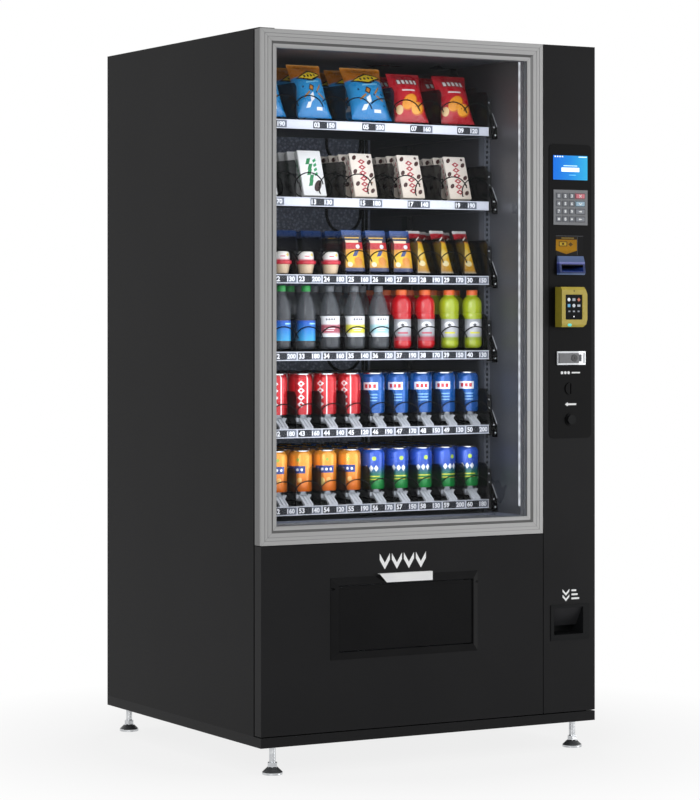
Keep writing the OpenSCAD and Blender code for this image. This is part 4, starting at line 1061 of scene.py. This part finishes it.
def bottle_form(body, label, shoulder, neck_r, neck, height):
    """A bottle with a rounded foot, a shallow recess for its label, a shoulder, a neck ring and a cap."""
    low, top = label
    ring_r, cap_r = neck_r + 2, neck_r + 0.9
    steps = [(0, 5), (12, 2), (body - 8, 0), (body - 3, 3), (body, 10), (body, low - 3)]
    steps += [(body - 1, low), (body - 1, top), (body, top + 3), *shoulder]
    steps += [(neck_r, neck - 2), (ring_r, neck - 1.5), (ring_r, neck)]
    slots = [0] * 6 + [1] + [0] * (len(steps) - 8) + [2] * 5
    steps += [(neck_r + 0.6, neck + 1), (cap_r, neck + 2), (cap_r, height - 1.5)]
    steps += [(neck_r, height), (0, height)]
    return turned(steps, slots)


def stand(heap, shape, x, y, z, jitter, rows=ROWS, lean=0.0, step=COIL_PITCH):
    """A row of goods down a lane, each a little out of true."""
    for row in range(rows):
        place = moved(
            x + jitter.uniform(-1, 1), y + row * step + jitter.uniform(-1.5, 1.5), z,
            lean + jitter.uniform(-1, 1) * (1 if lean else 0), jitter.uniform(-9, 9) * (0 if lean else 1),
        )
        heap.put(shape, place)


def bags():
    """Foil bags of two prints that lean back in the wide lanes of tray 1."""
    chance = random.Random(3)
    # Name, print, middle and width in each lane, height, place of the first bag and lean.
    kinds = (
        ("blue_bags", BLUE_BAG, ((133, 100), (271, 104), (449, 124)), 164, 203, 26),
        ("red_bags", RED_BAG, ((580, 107), (729, 107)), 146, 213, 22),
    )
    for name, skin, lanes, tall, front, lean in kinds:
        heap = Heap()
        for middle, wide in lanes:
            for row in range(ROWS):
                shape = pillow(wide + chance.uniform(-2, 2), tall, 48, 9, middle + row, pull=0.08)
                stand(heap, shape, middle, front + row * COIL_PITCH, deck(1) + 7, chance, 1, lean)
        heap.piece(name, "shelf_1", [skin], 70)


def cartons():
    """Flat cartons that lean back in the wide lanes of tray 2."""
    chance = random.Random(5)
    # Name, print, lanes, depth, height and distance to the right of a lane's middle.
    kinds = (
        ("green_cartons", GREEN_CARTON, (1, 2), 20, 130, 1),
        ("cream_cartons", CREAM_CARTON, (3, 4, 5), 23, 125, 7),
    )
    for name, skin, lanes, deep, tall, aside in kinds:
        heap = Heap()
        for lane in lanes:
            place = wide_x(lane) + aside, 233, deck(2) + 3.8
            stand(heap, carton(70, deep, tall), *place, chance, rows=8, lean=18.4, step=56.5)
        heap.piece(name, "shelf_2", [skin], 30)


def small_packs():
    """Tray 3: cartons, the first four lanes with a lidded cup in front of them, and slim foil packs."""
    chance = random.Random(7)
    z = deck(3) + 7
    cups, packs, shaded_backs, slim = Heap(), Heap(), Heap(), Heap()
    cup = turned(
        [(0, 0), (17, 0), (19, 2), (23, 23), (24, 25), (27, 26), (28, 27.5), (28, 34), (27, 35), (22.5, 36),
         (22.5, 38), (21.5, 54), (19, 58.5), (15, 60), (0, 60)],
        [2, 2, 2, 2, 1, 1, 1, 1, 1, 0, 0, 0, 0, 0],
    )
    for lane in range(1, 8):
        with_cup = lane < 5
        front = 217 + COIL_PITCH * with_cup
        # Behind a cup the cartons take the darkened navy print: painted shade.
        heap = shaded_backs if with_cup else packs
        stand(heap, carton(62, 24, 116, 2), lane_x(lane), front, z, chance, ROWS - with_cup, 14)
        if with_cup:
            stand(cups, cup, lane_x(lane) + 8, 224, deck(3) + 2.3, chance, 1)
    for lane in (8, 9, 10):
        for row in range(ROWS):
            shape = pillow(46, 131, 26, 6, 40 + lane + row, 8, 18)
            stand(slim, shape, lane_x(lane) - 2, 225 + row * COIL_PITCH, z, chance, 1, 26)
    cups.piece("lidded_cups", "shelf_3", [CUP_LID, CUP_COLLAR, CUP_BODY], 30)
    packs.piece("navy_packs", "shelf_3", [NAVY_PACK], 30)
    shaded_backs.piece("navy_packs_in_painted_shade", "shelf_3", [NAVY_PACK_SHADED], 30)
    slim.piece("slim_packs", "shelf_3", [SLIM_PACK], 70)


def bottles():
    """Bottles of three forms on tray 4."""
    chance = random.Random(9)
    slope = [(25.5, 112), (20, 132), (13.5, 147), (11.6, 150)]
    dome = [(28, 94), (26.6, 97), (28, 100), (28, 120), (26.6, 129), (21.5, 138), (15.4, 142.5)]
    low_label = bottle_form(27, (22, 76), [(27, 98), *slope], 11.6, 154, 170)
    high_label = bottle_form(30, (32, 88), [(30, 98), *slope], 11.6, 154, 170)
    stout = bottle_form(28, (21, 80), dome, 14.8, 146, 160)
    # Name, form, lanes, distance to the right of a lane's middle, and the skins of drink, label and cap.
    kinds = (
        ("water_bottles", low_label, (2, 3), 8, [WATER, BLUE_LABEL, CAP_GREEN]),
        ("pink_label_bottles", high_label, (4,), 5, [WATER, PINK_LABEL, CAP_GREY]),
        ("yellow_label_bottles", high_label, (5,), 5, [WATER, SUN_LABEL, CAP_GREY]),
        ("ice_label_bottles", high_label, (6,), 5, [WATER, ICE_LABEL, CAP_GREY]),
        ("red_drink_bottles", stout, (7, 8), 4.5, [RED_DRINK, RED_WRAP, CAP_ORANGE]),
        ("lime_drink_bottles", stout, (9, 10), 4.5, [LIME_DRINK, LIME_WRAP, CAP_ORANGE]),
    )
    for name, shape, lanes, aside, skins in kinds:
        heap = Heap()
        for lane in lanes:
            stand(heap, shape, lane_x(lane) + aside, 224, deck(4) + 7, chance)
        heap.piece(name, "shelf_4", skins, 40)


def cans():
    """Cans on the risers of trays 5 and 6, each turned a little and with its tab."""
    chance = random.Random(11)
    # Name, tray, lanes and lacquer.
    kinds = (
        ("red_cans", 5, (2, 3, 4, 5), RED_CAN),
        ("blue_cans", 5, (6, 7, 8, 9, 10), BLUE_CAN),
        ("orange_cans", 6, (2, 3, 4, 5), ORANGE_CAN),
        ("green_cans", 6, (6, 7, 8, 9, 10), GREEN_CAN),
    )
    on_lid = Matrix.Translation((0, 0, 116.8)) @ Matrix.Rotation(math.radians(-90), 4, "X")
    for name, tray, lanes, skin in kinds:
        heap = Heap()
        for lane in lanes:
            for row in range(ROWS):
                turn = chance.uniform(-28, 28)
                place = moved(lane_x(lane), FIRST_Y + row * COIL_PITCH, deck(tray) + CAN_FOOT, 0, turn)
                heap.put(CAN_FORM, place)
                heap.put(TAB_FORM, place @ on_lid)
        heap.piece(name, f"shelf_{tray}", [skin, CAN_METAL], 40)


bags()
cartons()
small_packs()
bottles()
cans()


# Cables at the back of the compartment, their clips and the mains inlet


def cables():
    """Two straight cables up the back corner, three loops between the trays, clips and the mains inlet."""
    corner_x, corner_y, apart = 818, 884, 6
    loop_x, loop_y, loop_r = 742, 878, 58
    clip_y, clip_deep = 878.5, 23
    clips = Heap()
    clips.put(carton(26, clip_deep, 28, 3), moved(corner_x, clip_y, 1850))
    rises = range(655, 1876, 122)
    paths = [[(x, corner_y, z) for z in rises] for x in (corner_x - apart, corner_x + apart)]
    bend = [math.radians(a) for a in range(0, 181, 12)]
    tail = (12, 30, 49)
    for tray in (1, 2, 4):
        middle = deck(tray) - 11
        clips.put(carton(128, clip_deep, 14, 3), moved(loop_x, clip_y, middle + 41))
        path = [(loop_x - loop_r, loop_y, middle + h) for h in tail[::-1]]
        path += [(loop_x - loop_r * math.cos(a), loop_y, middle - loop_r * math.sin(a)) for a in bend]
        paths.append(path + [(loop_x + loop_r, loop_y, middle + h) for h in tail])
    # The inlet is a frame with a sunk floor and three pins.
    outer, hole = oblong(932, 182, 978, 213), oblong(938, 188, 972, 207)
    floor_y, rim_y = 917, 939.5
    points = [(x, y, z) for y in (floor_y, rim_y) for x, z in outer + hole]
    faces = [[i, (i + 1) % 4, (i + 1) % 4 + 8, i + 8] for i in range(4)]
    faces += [[i + 4, i + 12, (i + 1) % 4 + 12, (i + 1) % 4 + 4] for i in range(4)]
    faces += [[8 + i, 8 + (i + 1) % 4, 12 + (i + 1) % 4, 12 + i] for i in range(4)]
    faces += [[4, 5, 6, 7]]
    clips.put(form(points, faces))
    for x, foot in ((946, 192), (955, 199), (964, 192)):
        clips.put(carton(2, 14, 5, 0.4), moved(x, 928, foot), 1)
    holder = clips.piece("cable_clips_and_inlet", "cabinet", [BLACK_PLASTIC, CHROME], 30, "cable_rubber")
    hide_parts("wiring_loom")
    for number, path in enumerate(paths, 1):
        heap = Heap()
        heap.put(tube(path, 4.5, 10))
        cable = heap.piece(f"cable_{number}", "cabinet", [RUBBER], 60, "cable_rubber")
        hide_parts("wiring_loom")


cables()


# Signs, screens and key marks on the door


def chevron(x, z, w, h, thick):
    """The outline of an arrowhead that points down."""
    left, right, foot, top = x - w / 2, x + w / 2, z - h / 2, z + h / 2
    shoulder = top - thick
    return [(left, top), (left, shoulder), (x, foot), (right, shoulder), (right, top), (x, foot + thick)]


def door_signs():
    """Pictograms in white ink, on the door's face and on the raised fascia."""
    on_door, on_fascia = (-0.35, 0.1), (-1.85, -1.4)
    heap = Heap()
    # Four arrowheads tell the hand to press the flap in.
    for k in range(4):
        heap.put(plate(chevron(369 + 37 * k, 540, 31, 42, 17), *on_door))
    # Three coins and a slot over the coin boss, and an arrow to the left over the change button.
    for k in range(3):
        heap.put(plate(disc(930 + 11 * k, 1031.5, 4.2, 18), *on_fascia))
    heap.put(plate(oblong(962, 1029.5, 990, 1033.5, 1.5), *on_fascia))
    arrow = [(940, 945), (949, 951), (949, 947.5), (977, 947.5), (977, 942.5), (949, 942.5), (949, 939)]
    heap.put(plate(arrow, *on_fascia))
    # Two arrowheads and a stack of coins seen edgewise over the coin cup.
    for z in (430, 415):
        heap.put(plate(chevron(944, z, 22, 18, 7), *on_door))
    for k in range(3):
        heap.put(plate(oblong(962, 410 + 11 * k, 988 - 5 * k, 415 + 11 * k, 1.5), *on_door))
    heap.piece("door_signs", "door", [WHITE_INK], 30)


# Display behind clear film: a blue that lightens to the right, with pale bars.
SCREEN = printed(
    "lit_blue_screen",
    [(0.0, "#1560c2"), (0.5, "#2078c3"), (1.0, "#2d98c4")],
    [
        ("square", 0.5, 0.42, 0.26, 0.085, "#eaf5ff"),
        *(("square", u, 0.95, 0.02, 0.025, "#e4f2ff") for u in (0.06, 0.13, 0.2, 0.27)),
        ("square", 0.86, 0.95, 0.12, 0.018, "#d4ecfc"),
        ("square", 0.5, 0.58, 0.2, 0.02, "#b4dcfc"),
        ("square", 0.56, 0.2, 0.1, 0.014, "#6cbcf6"),
    ],
    rough=0.2,
    glow=0.75,
    run="X",
    Specular_IOR_Level=0.05,
)
# The terminal's display: nearly black, with small dim icons and a white dot.
ICONS = printed(
    "lit_terminal_screen",
    [(0.0, "#0a0b0c"), (1.0, "#0e0f11")],
    [
        ("disc", 0.2, 0.8, 0.09, 0.07, "#c8ccd2"), ("square", 0.5, 0.8, 0.09, 0.055, "#8c9096"),
        ("lozenge", 0.8, 0.8, 0.1, 0.08, "#b06a58"), ("square", 0.2, 0.56, 0.08, 0.06, "#5c94b8"),
        ("disc", 0.5, 0.56, 0.09, 0.07, "#b0b4ba"), ("square", 0.8, 0.56, 0.09, 0.045, "#9a9ea4"),
        ("square", 0.22, 0.33, 0.06, 0.03, "#7c8086"), ("square", 0.5, 0.33, 0.06, 0.03, "#8c9096"),
        ("square", 0.78, 0.33, 0.06, 0.03, "#7c8086"), ("disc", 0.5, 0.12, 0.035, 0.028, "#f0f2f4"),
    ],
    rough=0.12,
    glow=0.6,
    Specular_IOR_Level=0.03,
)
# Label over the bill acceptor: amber ink on film, with dark corners and a small picture of a note.
NOTE_LABEL = printed(
    "amber_printed_label",
    [(0.0, "#8c6004"), (0.3, "#b07e08"), (1.0, "#9a6c06")],
    [
        ("square", 0.5, 0.96, 0.6, 0.12, "#241a0a"),
        ("square", 0.56, 0.92, 0.3, 0.03, "#8c7434"),
        ("square", 0.34, 0.6, 0.2, 0.13, "#4a3610"),
        ("square", 0.34, 0.6, 0.16, 0.09, "#c8a430"),
        ("disc", 0.34, 0.6, 0.06, 0.06, "#4a3610"),
        ("lozenge", 0.7, 0.58, 0.12, 0.12, "#5c4414"),
        ("lozenge", 0.0, 0.0, 0.6, 0.24, "#14110c"),
        ("lozenge", 1.0, 0.0, 0.6, 0.24, "#14110c"),
    ],
    rough=0.3,
    Specular_IOR_Level=0.08,
)
# A small lamp that glows cyan through its lens.
CYAN_LAMP = printed("lit_cyan_lens", [(0.0, "#2cb0a8"), (1.0, "#58d0c8")], (), glow=0.5)


def screens():
    """The lit screens, the note label and its trim; each is a thin plate on the door's fittings."""
    for name, outline, front, skin, body_slot in (
        ("screen_picture", oblong(900.4, 1559.4, 1013.6, 1626.1, 1.5), -2.75, SCREEN, "display_black"),
        ("terminal_picture", oblong(921, 1177, 975, 1245, 3), -33.2, ICONS, "terminal_yellow"),
        ("note_label", oblong(910, 1354, 979, 1404, 1.5), -1.9, NOTE_LABEL, "bill_blue"),
        ("terminal_lamp", oblong(927, 1158.5, 940, 1166, 3.4), -34.3, CYAN_LAMP, "terminal_yellow"),
    ):
        heap = Heap()
        heap.put(plate(outline, front, front + 0.45))
        heap.piece(name, "door", [skin], 30, body_slot)
    on_fascia, on_terminal = (-1.8, -1.4), (-34.3, -33.9)
    heap = Heap()
    heap.put(plate(oblong(982, 1353, 1000, 1404, 1), *on_fascia))
    heap.put(plate(oblong(910, 1405.2, 1000, 1406.6), *on_fascia, 1))
    heap.put(plate(oblong(980, 1354, 981.4, 1404), *on_fascia, 1))
    heap.put(plate(disc(948, 1255, 2, 16), *on_terminal))
    heap.piece("label_trim", "door", [BLACK_INK, KEY_RIM], 30, "bill_blue")


# Keys in mm, as in the part's source: the first row's upper edge, the rows' step, a key's height, the
# columns' left edges, the widths and the depth of the tops.
KEY_TOP, KEY_STEP, KEY_H = 1523, 21.2, 15.3
KEY_LEFT, KEY_W, WIDE_KEY_W, KEY_FACE = (909.0, 930.4, 951.8, 972.3), 16.0, 31.5, -5.9
RIM_W = 1.7


def key_sign(row, column):
    """A plain number or sign round the middle of a key."""
    number = 3 * (row - 1) + column
    if column == 4 and row == 1:
        bar = oblong(-5, -0.9, 5, 0.9, 0.4)
        return [(bar, turn) for turn in (45, -45)]
    if column == 4 and row == 2:
        return [(chevron(0, 0, 11, 7, 3), 0)]
    if column == 4:
        way = 7 - 2 * row
        arrow = [(-5, -1), (-5, 1), (1, 1), (1, 3.4), (5.5, 0), (1, -3.4), (1, -1)]
        return [([(x * way, z) for x, z in arrow], 0)]
    return [(disc(0, 0, 3.4, 14 if number == 10 else 4), 0)]


def key_marks():
    """Each key's dark rim, its top and a plain number or sign."""
    for row, column in KEYS:
        heap = Heap()
        x0, z1 = KEY_LEFT[column - 1], KEY_TOP - KEY_STEP * (row - 1)
        x1, z0 = x0 + (WIDE_KEY_W if column == 4 else KEY_W), z1 - KEY_H
        xc, zc = (x0 + x1) / 2, (z0 + z1) / 2
        for inset, thick, corner, slot in ((0.2, 0.16, 1.5, 1), (RIM_W, 0.24, 1, 2)):
            outline = oblong(x0 + inset, z0 + inset, x1 - inset, z1 - inset, corner)
            heap.put(plate(outline, KEY_FACE - thick, KEY_FACE, slot))
        # Numbers 1 to 9 and, as the eleventh, 0; the keys beside it carry signs.
        number = 3 * (row - 1) + column
        if column < 4 and number not in (10, 12):
            shape = figures(str(number % 11), 8.6)
            width = max(p[0] for p in shape[0])
            heap.put(shape, moved(xc - width / 2, KEY_FACE - 0.34, zc - 4.3))
        else:
            for outline, tilt in key_sign(row, column):
                depth = (-0.12, 0.12) if tilt else (-0.12, 0.02)
                heap.put(plate(outline, *depth), moved(xc, KEY_FACE - 0.22, zc, tilt=tilt))
        top = NODE_SKINS[f"key_r{row}c{column}"]
        heap.piece(f"key_mark_r{row}c{column}", f"keycap_r{row}c{column}", [WHITE_INK, KEY_RIM, top], 30)


door_signs()
screens()
key_marks()


# Levers and screws


def screw(x, y, z, r, towards):
    """A pan-head screw whose head looks along a direction."""
    profile = [(0, 0), (1, 0), (1, 0.35), (0.75, 0.6), (0.3, 0.68), (0, 0.68)]
    head = turned([(r * out, r * up) for out, up in profile], [0] * 5, 14)
    look = Vector(towards).to_track_quat("Z", "Y").to_matrix().to_4x4()
    return head, Matrix.Translation((x, y, z)) @ look


def latch_levers():
    """Levers that lean forward off the latches at both ends of each tray, with pale strips along their edges
    and pale screws, painted glints.
    """
    middle = LANE_X0 + 5 * LANE
    lever = [(204, 40), (180, 2), (177, -34), (184, -34), (189, 0), (209, 37)]
    # The strip along each lever's front edge and the screws take the pale paint: painted glints.
    edge = [(203, 40.6), (179, 2.6), (180, 2), (204, 40)]
    for tray in TRAYS:
        heap = Heap()
        z0 = deck(tray)
        for side in (-1, 1):
            for profile, near, far, slot in ((lever, 386, 400, 0), (edge, 398.6, 400, 1)):
                ends = sorted((middle + side * near, middle + side * far))
                heap.put(bar_along_x([(y, z0 + z) for y, z in profile], *ends), None, slot)
            for x, y, z in ((388.5, 204, 70), (388.5, 203, 46), (389, 179.6, 0), (393, 178, -22)):
                heap.put(*screw(middle + side * x, y, z0 + z, 2.2, (0, -1, 0)), 1)
        heap.piece(f"latch_levers_{tray}", f"shelf_{tray}", [GLOSS_BLACK, GLINT_PAINT], 30, "tray_steel")


def back_screws():
    """Screws round the back wall of the shell."""
    heap = Heap()
    for x in (14, 520, 1026):
        for z in (90, 480, 900, 1320, 1740, 1900):
            heap.put(*screw(x, 940, z, 4.5, (0, 1, 0)))
    heap.piece("back_screws", "cabinet", [CHROME], 30, "shell_coat")


latch_levers()
back_screws()


# Floor, light and camera


def seen_white(tree):
    """1 for rays that come from the eye, a mirror or glass, which see the background as white."""
    path = add(tree, "LightPath").node.outputs
    through = add(tree, "Math", [path["Is Camera Ray"], path["Is Transmission Ray"]], operation="MAXIMUM")
    return add(tree, "Math", [through, path["Is Glossy Ray"]], operation="MAXIMUM")


def floor():
    """A pale floor: white to the eye far from the machine, so that no edge shows, with a shadow near it."""
    material, tree, skin, place = blank("pale_studio_floor")
    dress(skin, Base_Color="#c4c4c4", Roughness=0.9)
    white = add(tree, "Emission", ["#ffffff", 1.0])
    away = add(tree, "VectorMath", [place], "Value", operation="LENGTH")
    fade = add(tree, "MapRange", [away, 0.7, 1.4, 0.84, 1.0])
    share = add(tree, "Math", [seen_white(tree), fade], operation="MULTIPLY")
    both = add(tree, "MixShader", [share, skin.outputs[0], white])
    feed(tree.nodes["Material Output"].inputs["Surface"], both)
    mesh = bpy.data.meshes.new("floor")
    reach = 14.0
    corners = [(-reach, -reach, 0), (reach, -reach, 0), (reach, reach, 0), (-reach, reach, 0)]
    mesh.from_pydata(corners, [], [[0, 1, 2, 3]])
    mesh.materials.append(material)
    ground = bpy.data.objects.new("floor", mesh)
    bpy.context.scene.collection.objects.link(ground)


def sky():
    """Even light all round, and a white background."""
    world = bpy.data.worlds.new("studio")
    bpy.context.scene.world = world
    world.use_nodes = True
    tree = world.node_tree
    level = add(tree, "MapRange", [seen_white(tree), 0.0, 1.0, 0.32, 1.0])
    feed(tree.nodes["Background"].inputs["Strength"], level)
    feed(tree.nodes["Background"].inputs["Color"], "#ffffff")


def lamp(name, place, aim, size, watts):
    """A soft rectangular light that looks from a place to another."""
    data = bpy.data.lights.new(name, "AREA")
    data.shape = "RECTANGLE"
    data.size, data.size_y = size
    data.energy = watts
    made = bpy.data.objects.new(name, data)
    bpy.context.scene.collection.objects.link(made)
    made.location = place
    made.rotation_euler = (Vector(aim) - Vector(place)).to_track_quat("-Z", "Y").to_euler()
    return made


def light():
    """Three softboxes round the machine and one lamp for its own light bars."""
    lamp("key_softbox", (-3.2, -3.6, 2.2), (0, 0, 1.0), (2.4, 2.4), 85)
    lamp("fill_softbox", (3.4, -3.2, 1.2), (0, 0, 0.9), (2.4, 2.2), 46)
    lamp("top_softbox", (0, 0.2, 4.2), (0, 0, 1.0), (2.5, 2.5), 60)
    # The light of the two bars beside the window, which falls on the goods.
    goods = lamp("compartment_light", at(436, 53, 1275), at(436, 500, 1275), (0.74, 1.2), 4.8)
    goods.data.color = linear("#f2f6ff")[:3]


def camera():
    """The photograph's view: a long lens at chest height, turned to the machine's left front corner."""
    data = bpy.data.cameras.new("camera")
    data.sensor_width = 36.0
    data.lens = 124.76
    data.shift_y = -0.1032
    made = bpy.data.objects.new("camera", data)
    bpy.context.scene.collection.objects.link(made)
    made.location = (-3.8512, -6.7538, 1.1828)
    made.rotation_euler = (math.radians(90), 0, math.radians(-29.705))
    data.clip_end = 60
    bpy.context.scene.camera = made


floor()
sky()
light()
camera()
bpy.context.scene.view_settings.view_transform = "Standard"
